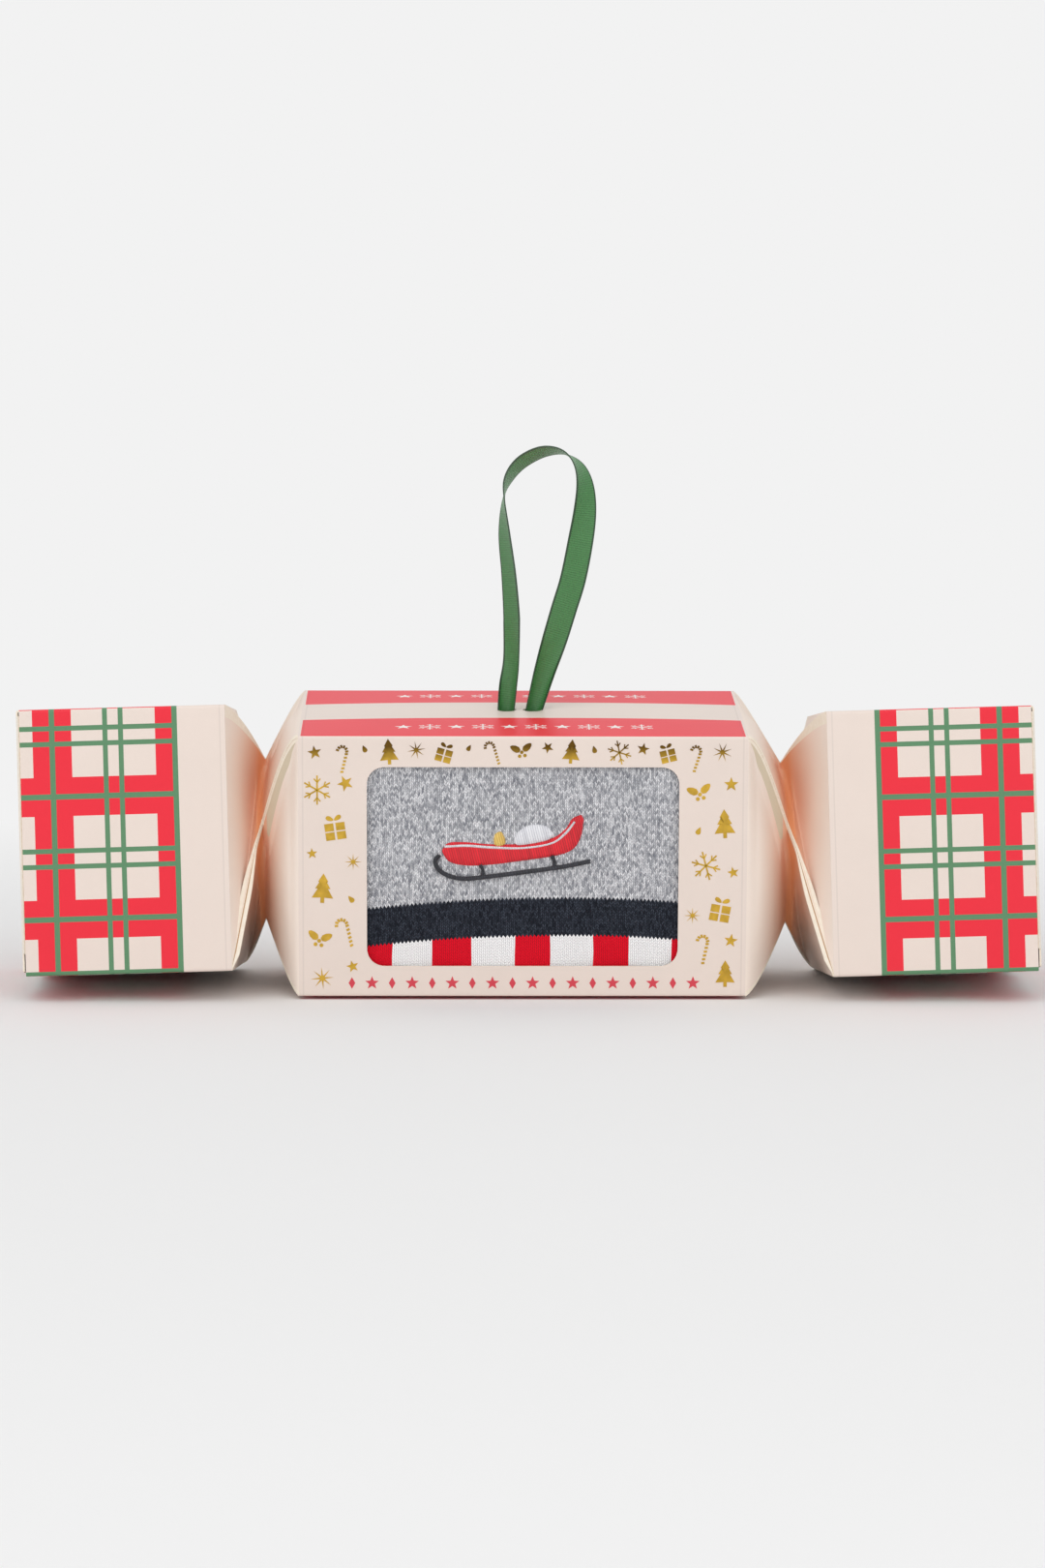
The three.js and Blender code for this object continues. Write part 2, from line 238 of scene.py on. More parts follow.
def ink(red, green, blue):
    """An sRGB colour of 0 to 255 as linear values with full cover."""
    value = np.array([red, green, blue]) / 255
    linear = np.where(value <= 0.04045, value / 12.92, ((value + 0.055) / 1.055) ** 2.4)
    return (*linear.tolist(), 1.0)


def sign(operation):
    """A method that joins a value and a second one with a Math node."""
    return lambda value, other: value.finish.math(operation, value, other)


class Value:
    """The output of a node. Each sign used on it adds one Math node to its finish."""
    __add__, __sub__, __mul__, __truediv__ = (sign(name) for name in ("ADD", "SUBTRACT", "MULTIPLY", "DIVIDE"))
    __pow__, __lt__, __gt__ = (sign(name) for name in ("POWER", "LESS_THAN", "GREATER_THAN"))

    def __init__(self, finish, socket):
        self.finish, self.socket = finish, socket

    def __abs__(self):
        return self.finish.math("ABSOLUTE", self)

    def __rsub__(self, other):
        return self.finish.math("SUBTRACT", other, self)


class Finish:
    """A material with short calls for the nodes that this file uses."""

    def __init__(self, name, roughness, **sockets):
        self.material = bpy.data.materials.new(name)
        self.material.use_nodes = True
        self.tree = self.material.node_tree
        self.shader = self.tree.nodes["Principled BSDF"]
        for label, value in {"Roughness": roughness, **sockets}.items():
            self.plug(self.shader.inputs[label.replace("_", " ")], value)

    def plug(self, socket, value):
        """Wires a value to a socket, or sets the socket to a plain number, colour or vector."""
        if isinstance(value, Value):
            self.tree.links.new(value.socket, socket)
        else:
            socket.default_value = value

    def node(self, kind, inputs=(), output=0, **settings):
        """Adds a shader node, sets it up, fills the inputs in the list and gives one output."""
        node = self.tree.nodes.new("ShaderNode" + kind)
        for label, setting in settings.items():
            setattr(node, label, setting)
        for place, value in dict(inputs).items():
            self.plug(node.inputs[place], value)
        return Value(self, node.outputs[output])

    def math(self, operation, *values):
        return self.node("Math", enumerate(values), operation=operation)

    def split(self, vector):
        """The three parts of a vector."""
        parts = self.node("SeparateXYZ", {0: vector}).socket.node.outputs
        return [Value(self, part) for part in parts]

    def uv(self, name):
        """The two coordinates of a UV map, in millimetres."""
        return self.split(self.node("UVMap", uv_map=name))[:2]

    def point(self):
        """The object's own coordinates, in metres."""
        return self.node("TexCoord", output="Object")

    def attribute(self, name):
        return self.node("Attribute", output="Fac", attribute_name=name)

    def joined(self, x, y, z=0.0):
        return self.node("CombineXYZ", {0: x, 1: y, 2: z})

    def noise(self, place, scale, detail=2.0, stretch=None):
        if stretch:
            place = self.node("Mapping", {"Vector": place, "Scale": stretch})
        return self.node("TexNoise", {"Vector": place, "Scale": scale, "Detail": detail}, "Fac")

    def speckle(self, place):
        """One random value for each whole-numbered cell."""
        return self.node("TexWhiteNoise", {"Vector": place}, "Value", noise_dimensions="3D")

    def mix(self, share, first, second):
        """Colour mix: first where share is 0, second where it is 1."""
        return self.node("Mix", {0: share, 6: first, 7: second}, 2, data_type="RGBA")

    def scaled(self, colour, factor):
        """A colour made lighter or darker by a factor."""
        grey = self.node("CombineColor", {0: factor, 1: factor, 2: factor})
        return self.node("Mix", {0: 1.0, 6: colour, 7: grey}, 2, data_type="RGBA", blend_type="MULTIPLY")

    def finished(self, colour, height, distance, strength=1.0):
        """Sets the colour, and the relief: height of 0 to 1 stands for the distance in metres."""
        self.plug(self.shader.inputs["Base Color"], colour)
        relief = self.node("Bump", {"Strength": strength, "Distance": distance, "Height": height})
        self.plug(self.shader.inputs["Normal"], relief)
        return self.material

    def sine(self, value, period):
        """A sine wave of the value with a period."""
        return self.math("SINE", value * (2 * np.pi / period))

    def clipped(self, value):
        """The value, kept between 0 and 1."""
        return self.math("MINIMUM", self.math("MAXIMUM", value, 0.0), 1.0)

    def within(self, value, low, high):
        """1 where low < value < high, else 0."""
        return (value > low) * (value < high)

    def band(self, value, centre, period, width):
        """1 on stripes of a width that repeat with a period about a centre."""
        offset = abs(self.math("FRACT", (value - centre) / period + 0.5) - 0.5)
        return offset * period < width / 2


print("mid grey as a linear value:", round(ink(128, 128, 128)[0], 3))


# %% [markdown]
# ## The board
#
# Printed board is smooth and a little silky on the outside. Close up it has a faint mottle and
# the paper fibres lift the surface by hundredths of a millimetre. The inside is plain uncoated
# board, and a cut edge shows pale fibres in layers. The print is part of the finish: it is
# worked out from the blank's own flat coordinates, so it follows every fold as real ink does.

# %% Board finishes
cream, print_red, print_green = ink(233, 218, 208), ink(238, 36, 56), ink(92, 139, 101)
fold_radius = 0.8
side_length = 2 * (half - fold_radius + np.pi * fold_radius / 4)


def board_grain(finish, colour, depth=0.00002):
    """Mottle of a few per cent in the colour and fine fibre relief."""
    cloud = finish.noise(finish.point(), 60, 3)
    fibre = finish.noise(finish.point(), 1800, 3, (1.0, 1.6, 1.6))
    return finish.finished(finish.scaled(colour, cloud * 0.05 + fibre * 0.03 + 0.96), fibre, depth, 0.6)


def painted_score_shade(finish, colour, place, line):
    """Darkens one line beside a crease with painted shade, for the shade in the groove of the score.
    The period is so long that the line doesn't repeat."""
    score_width, long_period, darker = 0.4, 1000.0, 0.08
    # painted shade: a line 0.4 mm wide, 8 per cent darker, for the shade in the score's groove
    return finish.scaled(colour, 1.0 - finish.band(place, line, long_period, score_width) * darker)


def plain_board(name, colour, roughness):
    return board_grain(Finish(name, roughness, Specular_IOR_Level=0.3), colour)


def layered_edge():
    """A cut edge: fine pale layers along the board's thickness, by a stretched noise."""
    finish = Finish("cut_edge", 0.85, Specular_IOR_Level=0.2)
    layers = finish.noise(finish.point(), 2600, 3, (1.0, 0.35, 0.35))
    return finish.finished(finish.mix(layers, ink(226, 208, 184), ink(250, 243, 231)), layers, 0.00004)


def striped_board():
    """Centre box: the top and bottom panels have red stripes on their outer thirds, which stop
    just short of the creases. The other panels are cream."""
    finish = Finish("centre_print", 0.42, Specular_IOR_Level=0.4)
    x, s = finish.uv("blank")
    stripe_inner, stripe_outer, stripe_reach, score_place = 11.7, 34.6, 58.3, 57.8
    t = (finish.math("FRACT", s / (2 * side_length)) - 0.75) * (2 * side_length)
    red = finish.within(abs(t), stripe_inner, stripe_outer) * (abs(x) < stripe_reach)
    return board_grain(finish, painted_score_shade(finish, finish.mix(red, cream, print_red), abs(x), score_place))


def plaid_board():
    """End box: distance d from the open edge and place s round the tube both carry a red band
    every 32.2 mm with a green line in its middle, and a pair of green lines half-way between.
    The print stops at a green line 41.4 mm in, and the board beyond is cream."""
    finish = Finish("plaid_print", 0.42, Specular_IOR_Level=0.4)
    d, s = finish.uv("blank")
    period, band_d, band_s, print_end, score_place = 32.2, 8.5, 22.9, 41.4, 52.6
    band_width, line_width, pair_width = 10.2, 1.45, 1.3
    red = finish.math("MAXIMUM", finish.band(d, band_d, period, band_width), finish.band(s, band_s, period, band_width))
    lines = finish.band(d, band_d, period, line_width)
    for value, centre, width in ((s, band_s, line_width), (d, 22.45, pair_width), (d, 26.55, pair_width),
                                 (s, 4.95, pair_width), (s, 9.05, pair_width)):
        lines = finish.math("MAXIMUM", lines, finish.band(value, centre, period, width))
    printed = d < print_end
    colour = finish.mix(lines * printed, finish.mix(red * printed, cream, print_red), print_green)
    return board_grain(finish, painted_score_shade(finish, colour, d, score_place))


board_inside, cut_edge = plain_board("board_inside", ink(236, 229, 219), 0.8), layered_edge()
centre_boards, end_boards = (striped_board(), board_inside, cut_edge), (plaid_board(), board_inside, cut_edge)
print("board finishes:", ", ".join(board.name for board in (centre_boards[0], *end_boards)))

# %% [markdown]
# ## Folding the blank
#
# On the real thing the tube is flat board that is creased and folded. The formula does the same:
# it takes a place on the flat blank, x along the tube and s round it, and gives the place on the
# folded tube. Its corners are small arcs, because board never folds to a knife edge, and each
# panel swells outwards by a fraction of a millimetre.

# %% The fold formula


def fold(x, s, swell=0.0, lift=0.0):
    """Place on a square tube with rounded folds. s runs from the top edge of the front panel down
    and round. In each panel t = s from its middle; past the flat part the point turns on an arc:
    u = flat + r sin a, n = flat + r cos a. Swell falls off to the panel's edges as cos."""
    panel = np.floor(s / side_length)
    t = s - (panel + 0.5) * side_length
    flat = half - fold_radius
    angle = np.clip(np.abs(t) - flat, 0, None) / fold_radius
    u = np.sign(t) * (np.minimum(np.abs(t), flat) + fold_radius * np.sin(angle))
    n = flat + fold_radius * np.cos(angle) + swell * np.cos(np.pi * t / side_length) + lift
    turn = (panel % 4).astype(int)
    y = np.choose(turn, [-n, u, n, -u])
    return np.stack([x + 0 * y, y, np.choose(turn, [-u, -n, u, n])], -1)


def panel_lines():
    """Places across a panel: fine on the two half folds, every 1.5 mm between them."""
    edge = np.linspace(-side_length / 2, fold_radius - half, 4)
    return np.concatenate([edge, np.arange(-33, 33.1, 1.5), -edge[::-1]])


def box_lines(reach, inner):
    """Places along a box: its two ends, and every 1.5 mm between the inner places."""
    return np.concatenate([[-reach], np.arange(-inner, inner + 0.1, 1.5), [reach]])


def cut_out(low_x, high_x, low_t, high_t, centre, size, radius, step=1.5, rings=4):
    """A patch from a rectangle of grid lines to a rounded opening. Each outline point is scaled
    onto the opening's rectangle, and past its corner centre it is pushed onto the corner arc."""
    xs, ts = np.arange(low_x, high_x + step / 2, step), np.arange(low_t, high_t + step / 2, step)
    outer = np.concatenate([
        np.stack([xs[:-1], 0 * xs[:-1] + low_t], -1), np.stack([0 * ts[:-1] + high_x, ts[:-1]], -1),
        np.stack([xs[:0:-1], 0 * xs[:0:-1] + high_t], -1), np.stack([0 * ts[:0:-1] + low_x, ts[:0:-1]], -1)])
    middle, reach = (np.array([high_x + sign * low_x, high_t + sign * low_t]) / 2 for sign in (1, -1))
    inner = (outer - middle) * np.array(size) / reach
    core = np.clip(inner, radius - np.array(size), np.array(size) - radius)
    share = np.linspace(0, 1, rings)[:, None, None]
    return outer * (1 - share) + (core + radius * unit(inner - core) + np.array(centre)) * share


def sleeve_parts(xs, swells, name, uv_of, holes=()):
    """The four panels as folded grids, without the cells inside each hole's rectangle, and a patch
    for each hole."""
    parts = []
    for index, swell in enumerate(swells):
        x, t = np.meshgrid(xs, panel_lines(), indexing="ij")
        faces = grid_faces(*x.shape, ring=False)
        middle = np.stack([x, t], -1).reshape(-1, 2)[faces].mean(axis=1)
        patches = []
        for _, (low_x, high_x, low_t, high_t), *opening in (hole for hole in holes if hole[0] == index):
            kept = ~((middle > [low_x, low_t]) & (middle < [high_x, high_t])).all(axis=1)
            faces, middle = faces[kept], middle[kept]
            patch = cut_out(low_x, high_x, low_t, high_t, *opening)
            patches.append((patch[..., 0], patch[..., 1], grid_faces(*patch.shape[:2])[:, ::-1]))
        for gx, gt, quads in [(x, t, faces), *patches]:
            low = index * side_length
            gs = low + side_length / 2 + gt
            points = fold(gx, np.clip(gs, low + 1e-7, low + side_length - 1e-7), swell(gx))
            parts.append((placed(points, name), quads, {"blank": flat_map(*uv_of(gx, gs))}))
    return parts


print("a panel takes", round(side_length, 2), "mm of the blank")


# %% [markdown]
# ## Centre box
#
# The front panel has the window and the top panel two punched holes for the ribbon. Both are
# patches of their own: rings that run from a rectangle of grid lines to the rounded outline, so
# the cut edge is clean and no cutting tool is needed. The board is then thickened inwards.

# %% Centre sleeve
centre_holes = [
    (0, (-45, 45, -30, 30), (0, 0), (41.0, 26.75), 4.6),
    (3, (-7.5, 0, -3, 3), (-3.95, 0), (2.6, 2.6), 2.6),
    (3, (0, 6, -3, 3), (2.95, 0), (2.6, 2.6), 2.6),
]


def dome(height, reach):
    """Swell that is greatest half-way along and falls to nothing at the creases."""
    return lambda x: height * (1 - np.clip(np.abs(x) / reach, 0, 1) ** 2.5)


panels = ("front", "bottom", "back", "top")
centre_swells = [dome(height, centre_half_length) for height in (0.25, 0.1, 0.4, 0.8)]
blank = sleeve_parts(box_lines(centre_half_length, 57.0), centre_swells, "centre", lambda x, s: (x, s), centre_holes)
piece("centre_sleeve", blank, "centre_box", [f"centre_{panel}_panel" for panel in panels],
      centre_boards, thick=board_thickness)

# %% [markdown]
# ## End boxes
#
# The two end boxes are plain sleeves in the same board. Their flat coordinate d starts at the open
# edge, so both ends carry the plaid from the edge inwards and mirror each other, as on the real
# blank.

# %% End sleeves
end_swells = [dome(height, end_half_length) for height in (0.3, 0.3, 0.3, 0.02)]
for name, side in sides.items():
    blank = sleeve_parts(box_lines(end_half_length, 25.5), end_swells, name,
                         lambda x, s: (end_half_length - side * x, s))
    piece(f"{name}_sleeve", blank, f"{name}_end", [f"{name}_{panel}_panel" for panel in panels],
          end_boards, thick=board_thickness)

# %% [markdown]
# ## Twisted necks
#
# Between the boxes the tube is twisted by nearly a quarter turn. Each panel folds flat across the
# tube and meets the next one in a sharp ridge. In every cross-section the neck is a pinwheel: four
# thin arms that start at the tube's corners and reach the throat as a slim cross. A loft through
# these pinwheels gives one unbroken surface.

# %% Pinwheel outline
throat_reach, fold_thickness, throat_share, crossing_share, valley_reach = 21.0, 1.4, 0.535, 0.63, 13.0
spans, wall_bulge = [3, 8, 26] * 4, 0.09
rounding = np.array([0.34, 0.34, 2.2] * 4)[:, None]


def way_in(along, deepest):
    """Share of the way from the nearer crease to the deepest place: 0 at both creases, 1 there."""
    return np.clip(np.where(along < deepest, along / deepest, (1 - along) / (1 - deepest)), 0, 1)


def ease(value, start, end):
    """Smooth step from 0 to 1 between two values."""
    share = np.clip((value - start) / (end - start), 0, 1)
    return share ** 2 * (3 - 2 * share)


def ridge_path(along):
    """Where a ridge stands at a share along the neck: its reach from the axis and its height from
    the middle of its side. The reach falls to 21 mm at the throat, as share to the power 1.4 from
    the centre crease and 1.6 from the end crease. The height falls as a cosine from the tube's
    corner to the middle at the crossing, then grows evenly to the next corner."""
    reach = half - (half - throat_reach) * way_in(along, throat_share) ** np.where(along < throat_share, 1.4, 1.6)
    station = way_in(along, crossing_share)
    fall = np.where(along <= crossing_share, np.cos(np.pi / 2 * station ** 0.78), 1 - station)
    low = fold_thickness / 2
    return reach, np.minimum(low + (half - low) * fall, reach)


def pinwheel(along):
    """Corners of the outline: four arms of a tip's upper corner, its lower corner and the inner
    corner behind the fold, each arm a quarter turn from the last. The inner corner sinks from the
    tube's face to 13 mm from the axis at the crossing. On the centre side the fold shows its under
    side, as a facet 7 mm high, from just inside the crease to a little before the crossing."""
    reach, flat = ridge_path(along)
    under = flat - fold_thickness
    first, station = along <= crossing_share, way_in(along, crossing_share)
    sunk = np.where(first, np.cos(np.pi / 2 * station ** 1.25), 1 - station ** 1.9)
    lip = 2.0 * ease(station, 0, np.where(first, 0.2, 0.9))
    inner = np.minimum(valley_reach + (half - valley_reach) * sunk, reach - lip)
    facet = 7.0 * ease(along, 0.0, 0.14) * (1 - ease(along, 0.43, 0.5))
    drop = (valley_reach - fold_thickness / 2) * station ** 2 + facet
    arm = np.stack([[-reach, flat], [-reach, under], [-inner, under - drop]]).transpose(2, 0, 1)
    return np.stack([swung(arm, degrees) for degrees in (0, 90, 180, 270)], 1)


def neck_rings(along):
    """Twelve corners for each ring, in one order from crease to crease. Past the crossing the
    pinwheel is mirrored top to bottom, and the corners are listed so that each meets its twin."""
    arms = pinwheel(along)
    mirrored = (arms * [1, -1])[:, [0, 3, 2, 1, 0]]
    twins = np.stack([mirrored[:, :4, 1], mirrored[:, :4, 0], mirrored[:, 1:, 2]], 2)
    return np.where((along <= crossing_share)[:, None, None, None], arms, twins).reshape(len(along), 12, 2)


def softened(corners, along):
    """Rounds each corner with a quadratic curve of five points and spreads points along the
    edges between. A corner never takes more than 45 per cent of an edge. The long walls bulge by
    a parabola, up to 9 per cent of their length half-way to the crossing."""
    def towards(neighbours):
        way = neighbours - corners
        length = np.linalg.norm(way, axis=-1, keepdims=True)
        return corners + way / np.maximum(length, 1e-6) * np.minimum(rounding, 0.45 * length)

    swelling = (np.sin(np.pi * way_in(along, crossing_share)) ** 1.5)[:, None, None]
    start, end = towards(np.roll(corners, 1, axis=1)), towards(np.roll(corners, -1, axis=1))
    w = np.linspace(0, 1, 5)[:, None]
    runs = []
    for k, span in enumerate(spans):
        leaving, meeting = end[:, k, None], start[:, (k + 1) % 12, None]
        v = np.linspace(0, 1, span + 2)[1:-1, None]
        outward = (meeting - leaving)[..., ::-1] * [1, -1] * (wall_bulge if k % 3 == 2 else 0)
        outward = outward * np.sign((outward * leaving).sum(-1, keepdims=True))
        runs += [(1 - w) ** 2 * start[:, k, None] + 2 * w * (1 - w) * corners[:, k, None] + w ** 2 * leaving,
                 (1 - v) * leaving + v * meeting + 4 * v * (1 - v) * outward * swelling]
    return np.clip(np.concatenate(runs, axis=1), -half, half)


def ring_marks():
    """For each point of a ring: 1 on a ridge's tip, the place across the tip from -1 to 1, and 1
    on the under side of the fold just behind the tip."""
    tip, across, under = [], [], []
    for k, span in enumerate(spans):
        corner = k % 3
        tip += [np.full(5, float(corner < 2)), np.full(span, float(corner == 0))]
        across += [np.full(5, (-0.9, 0.9, 0.0)[corner]), np.linspace(-0.7, 0.7, span) * (corner == 0)]
        under += [np.zeros(5), np.linspace(1, 0, span) * (corner == 1)]
    return [np.concatenate(marks) for marks in (tip, across, under)]


def strip_shift(along):
    """How far the two sides of a ridge stand apart along the neck, in mm: a hair on the centre
    side, and up to 1.4 mm each way past the crossing, where the two layers of the fold show."""
    fall = np.clip((1 - along) / 0.05, 0, 1)
    return (0.12 * ease(along, 0, 0.1) + 1.25 * ease(along, 0.58, 0.78)) * fall


print("a neck's ring has", len(ring_marks()[0]), "points")

# %% [markdown]
# The neck is carried from the centre box's frame to the end box's frame little by little, so both
# ends meet their creases exactly. It is one closed mesh: inside each crease it turns back into a
# shallow funnel, which is what one sees on looking into an opened end.

# %% Necks


def neck_place(name, along, rings):
    """Puts rings at their share of the way from the centre crease to the end crease: the middle
    moves along and down, and the lean and the tilt change in proportion."""
    side, along = sides[name], along[:, None]
    tilt, lean = np.radians(end_tilt) * along, np.radians(centre_lean + (end_lean - centre_lean) * along)
    b, c = rings[..., 0], rings[..., 1]
    y, z = b * np.cos(lean) - c * np.sin(lean), b * np.sin(lean) + c * np.cos(lean)
    x = centre_x + side * (centre_half_length + neck_lengths[name] * along)
    rise = axis_height - side * end_half_length * np.sin(np.radians(end_tilt)) * along
    return np.stack([x - z * np.sin(tilt), y, rise + z * np.cos(tilt)], -1)


def neck_finish():
    """Cream board whose ridges are worn to the pale core, with a fine line where the two layers of
    the fold meet. Deep in the twist the cream is painted warmer, painted bounce light that stands in
    for light passing from board to board, and behind the upper part of the front ridge the fold's
    under side is painted grey-tan, painted shade that is full on the front arm and faint elsewhere."""
    finish = Finish("neck_board", 0.55, Specular_IOR_Level=0.3)
    ridge, across, along, under, front, depth = (finish.attribute(name) for name in neck_marks)
    # painted bounce light: deep in the twist the cream is painted warmer and more orange, for light passing from board
    # to board
    painted_bounce_light = finish.math("MINIMUM", depth ** 3.0 * 1.15, 1.0)
    board = finish.mix(painted_bounce_light, ink(240, 225, 213), ink(230, 154, 108))
    # painted shade: the fold's under side behind the upper front ridge is painted grey-tan, full on the front arm and
    # faint on the others
    facet = finish.within(along, 0.03, 0.47) * (front * 0.85 + 0.15) * (under > 0.05)
    board = finish.mix(facet, board, ink(214, 200, 176))
    worn = finish.mix(finish.noise(finish.point(), 700, 2), ink(248, 240, 226), ink(236, 222, 202))
    tip = finish.mix(abs(across - 0.12) < 0.12, worn, ink(190, 152, 118))
    edge = 0.6 - (along > 0.64) * front * 0.5
    return board_grain(finish, finish.mix(ridge > edge, board, tip))


neck_marks = ("ridge", "across", "along", "under", "front", "depth")
neck_board = neck_finish()
along, funnel = 0.5 - 0.5 * np.cos(np.pi * np.linspace(0, 1, 97)), np.array([0.43, 0.36, 0.25, 0.12, 0.0])
outline = softened(neck_rings(along), along)
ridge, across, under = ring_marks()
count, hidden = len(ridge), len(funnel) + 1
front = (np.arange(count) < count // 4) | (np.arange(count) > count - 3)
outside = np.pad(np.ones((len(along), 1)), ((hidden, hidden), (0, 0)))
deepest = 0.58
depth = np.clip(1 - np.abs(along - deepest) / deepest, 0, 1)
marks = np.broadcast_arrays(
    outside * ridge, across, np.pad(along, hidden, mode="edge")[:, None],
    outside * under, front, np.pad(depth, hidden)[:, None])
marks = {name: mark.astype(float).ravel() for name, mark in zip(neck_marks, marks)}
for name, side in sides.items():
    near, far = (neck_place(name, places, ring * ((ridge_path(places)[1] - board_thickness) / half)[:, None, None])
                 for places, ring in ((funnel, outline[:1]), (1 - funnel[::-1] * 0.6, outline[-1:])))
    outer = neck_place(name, along, outline)
    outer[..., 0] -= side * strip_shift(along)[:, None] * (across * ridge * np.where(front, 1, 0.2))
    rings = capped(np.concatenate([near, outer, far]))
    halves = [f"{name}_neck_{part}_half" for part in ("inner", "outer")]
    neck = piece(f"{name}_neck", [tube_part(rings, **marks)], None, halves, (neck_board,),
                 closed=True, angle=50)
    start, end = neck_place(name, np.array([0.0, 1.0]), np.zeros((2, 1, 2)))[:, 0] / 1000
    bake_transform(neck)

# %% [markdown]
# ## Ribbon
#
# The loop is one satin ribbon, 7 mm wide. Its middle follows a smooth curve through points taken
# from the frame's own route, and it turns about that curve as real ribbon does: nearly face-on on
# the right, edge-on as it goes over the top. At the feet it is gathered to fit the punched holes,
# so its cross-section curls to a C while its true width stays the same.

# %% Ribbon route
ribbon_width, ribbon_thickness = 7.0, 0.34
ribbon_knots = np.array([  # along, up, turn in degrees, width between the edges
    [-4, -1.7, 10, 4.2], [-4, 0, 10, 4.2], [-3.2, 7, 30, 5.2], [-2.4, 14, 50, 6.4], [-2.6, 25.5, 53, 7],
    [-3.4, 37, 58, 7], [-4.6, 48, 66, 7], [-4.8, 57, 87, 7], [-3.6, 62.5, 110, 7], [-0.4, 66.8, 120, 7],
    [4.6, 69.6, 118, 7], [9.2, 70.1, 106, 7], [12.8, 68.7, 88, 7], [15.6, 65.4, 66, 7], [16.9, 60.4, 47, 7],
    [16.8, 53.4, 27, 7], [15.5, 44.7, 8, 7], [13.7, 35.7, 1, 7], [11.5, 28.4, 4, 7], [8.9, 19.8, 8, 6.8],
    [5.9, 10.5, 10, 5.6], [3, 0, 10, 4.2], [2.7, -1.7, 10, 4.2]])


def smooth_route(knots, count):
    """Catmull-Rom curve: between two knots a cubic whose slopes are half the step between the
    knots' neighbours. The ends are mirrored to give the first and last slope."""
    knots = np.array(knots, dtype=float)
    padded = np.vstack([2 * knots[0] - knots[1], knots, 2 * knots[-1] - knots[-2]])
    t = np.linspace(0, len(knots) - 1, count)
    i = np.minimum(t.astype(int), len(knots) - 2)
    w = (t - i)[:, None]
    p0, p1, p2, p3 = (padded[i + k] for k in range(4))
    square, cube = 2 * p0 - 5 * p1 + 4 * p2 - p3, 3 * p1 - p0 - 3 * p2 + p3
    return 0.5 * (2 * p1 + (p2 - p0) * w + square * w ** 2 + cube * w ** 3)


def ribbon_frame(count):
    """Centres, directions across and directions through the ribbon, and its width between the
    edges as a share. Across is turned by the route's angle from the curve's outward normal towards
    the back of the object."""
    route = smooth_route(ribbon_knots, count)
    lean = np.radians(centre_lean)
    foot = np.array([centre_x, -half * np.sin(lean), axis_height + half * np.cos(lean)])
    centres = np.stack([route[:, 0], 0 * route[:, 0], route[:, 1]], -1) + foot
    tangent = unit(np.gradient(centres, axis=0))
    outward = tangent[:, [2, 1, 0]] * [-1, 0, 1]
    turn = np.radians(route[:, 2:3])
    across = outward * np.cos(turn) + np.array([0, 1, 0]) * np.sin(turn)
    return centres, across, np.cross(tangent, across), np.minimum(route[:, 3] / ribbon_width, 0.999)


centres, ribbon_across, ribbon_through, chord_share = ribbon_frame(260)
half_arcs = np.linspace(1e-3, 2.6, 400)
curl = np.interp(-chord_share, -np.sin(half_arcs) / half_arcs, half_arcs)[:, None]
ribbon_walked = walked(centres)
print("ribbon between its two holes:", round(ribbon_walked[-1], 1), "mm")

# %% [markdown]
# Satin shines along its floats. The weave here is fine ribs straight across the ribbon with a
# slightly darker, tighter selvedge down each edge, and the gloss is stretched across the ribs.

# %% Ribbon piece


def satin():
    finish = Finish("green_satin", 0.36, Specular_IOR_Level=0.55, Sheen_Weight=0.12, Sheen_Roughness=0.4,
                    Sheen_Tint=ink(120, 200, 140))
    u, v = finish.uv("weave")
    rib, thread = abs(finish.sine(u, 1.2)), abs(finish.sine(v, 0.44))
    edge = abs(v) > 3.0
    streak = finish.noise(finish.joined(u, v * 6.0), 0.5, 3)
    # painted sheen: the colour is painted lighter on each rib's crest and darker between ribs
    colour = finish.mix(rib * 0.4, finish.mix(streak, ink(38, 86, 42), ink(64, 130, 66)), ink(88, 154, 90))
    colour = finish.mix(edge * 0.85, colour, ink(20, 50, 26))
    return finish.finished(colour, rib * 0.7 + thread * 0.3 + edge * 0.8, 0.00006, 0.7)


def ribbon_part():
    """A closed flat tube. Round the section the angle a runs over plus and minus the curl on one
    side and back on the other; radius = half width / curl, and the two sides lie half a
    thickness in and out of that arc."""
    w = np.cos(np.linspace(np.pi, 0, 21))
    w = np.concatenate([w, w[::-1]])
    shift = np.repeat([0.5, -0.5], 21) * ribbon_thickness
    shift[[0, 20, 21, 41]] *= 0.25
    angle, radius = w * curl, ribbon_width / 2 / curl
    depth = radius * (1 - np.cos(angle)) - radius * (1 - np.cos(curl)) / 2 + shift * np.cos(angle)
    reach = radius * np.sin(angle) - shift * np.sin(angle)
    rings = centres[:, None] + ribbon_across[:, None] * reach[..., None] + ribbon_through[:, None] * depth[..., None]
    along = np.pad(ribbon_walked, 1, mode="edge")[:, None]
    return tube_part(capped(rings), weave=flat_map(along, w * ribbon_width / 2))


green_satin = satin()
ribbon = piece("ribbon", [ribbon_part()], "centre_box", ("ribbon_loop",), (green_satin,),
               closed=True, merge=0.0005, angle=60)
path = (centres[::8] / 1000).tolist()

# %% [markdown]
# Under the top panel both ends of the ribbon are tied in a small knot that can't slip back
# through the holes. It is a thin tube along a trefoil curve, pressed flat.

# %% Ribbon knot


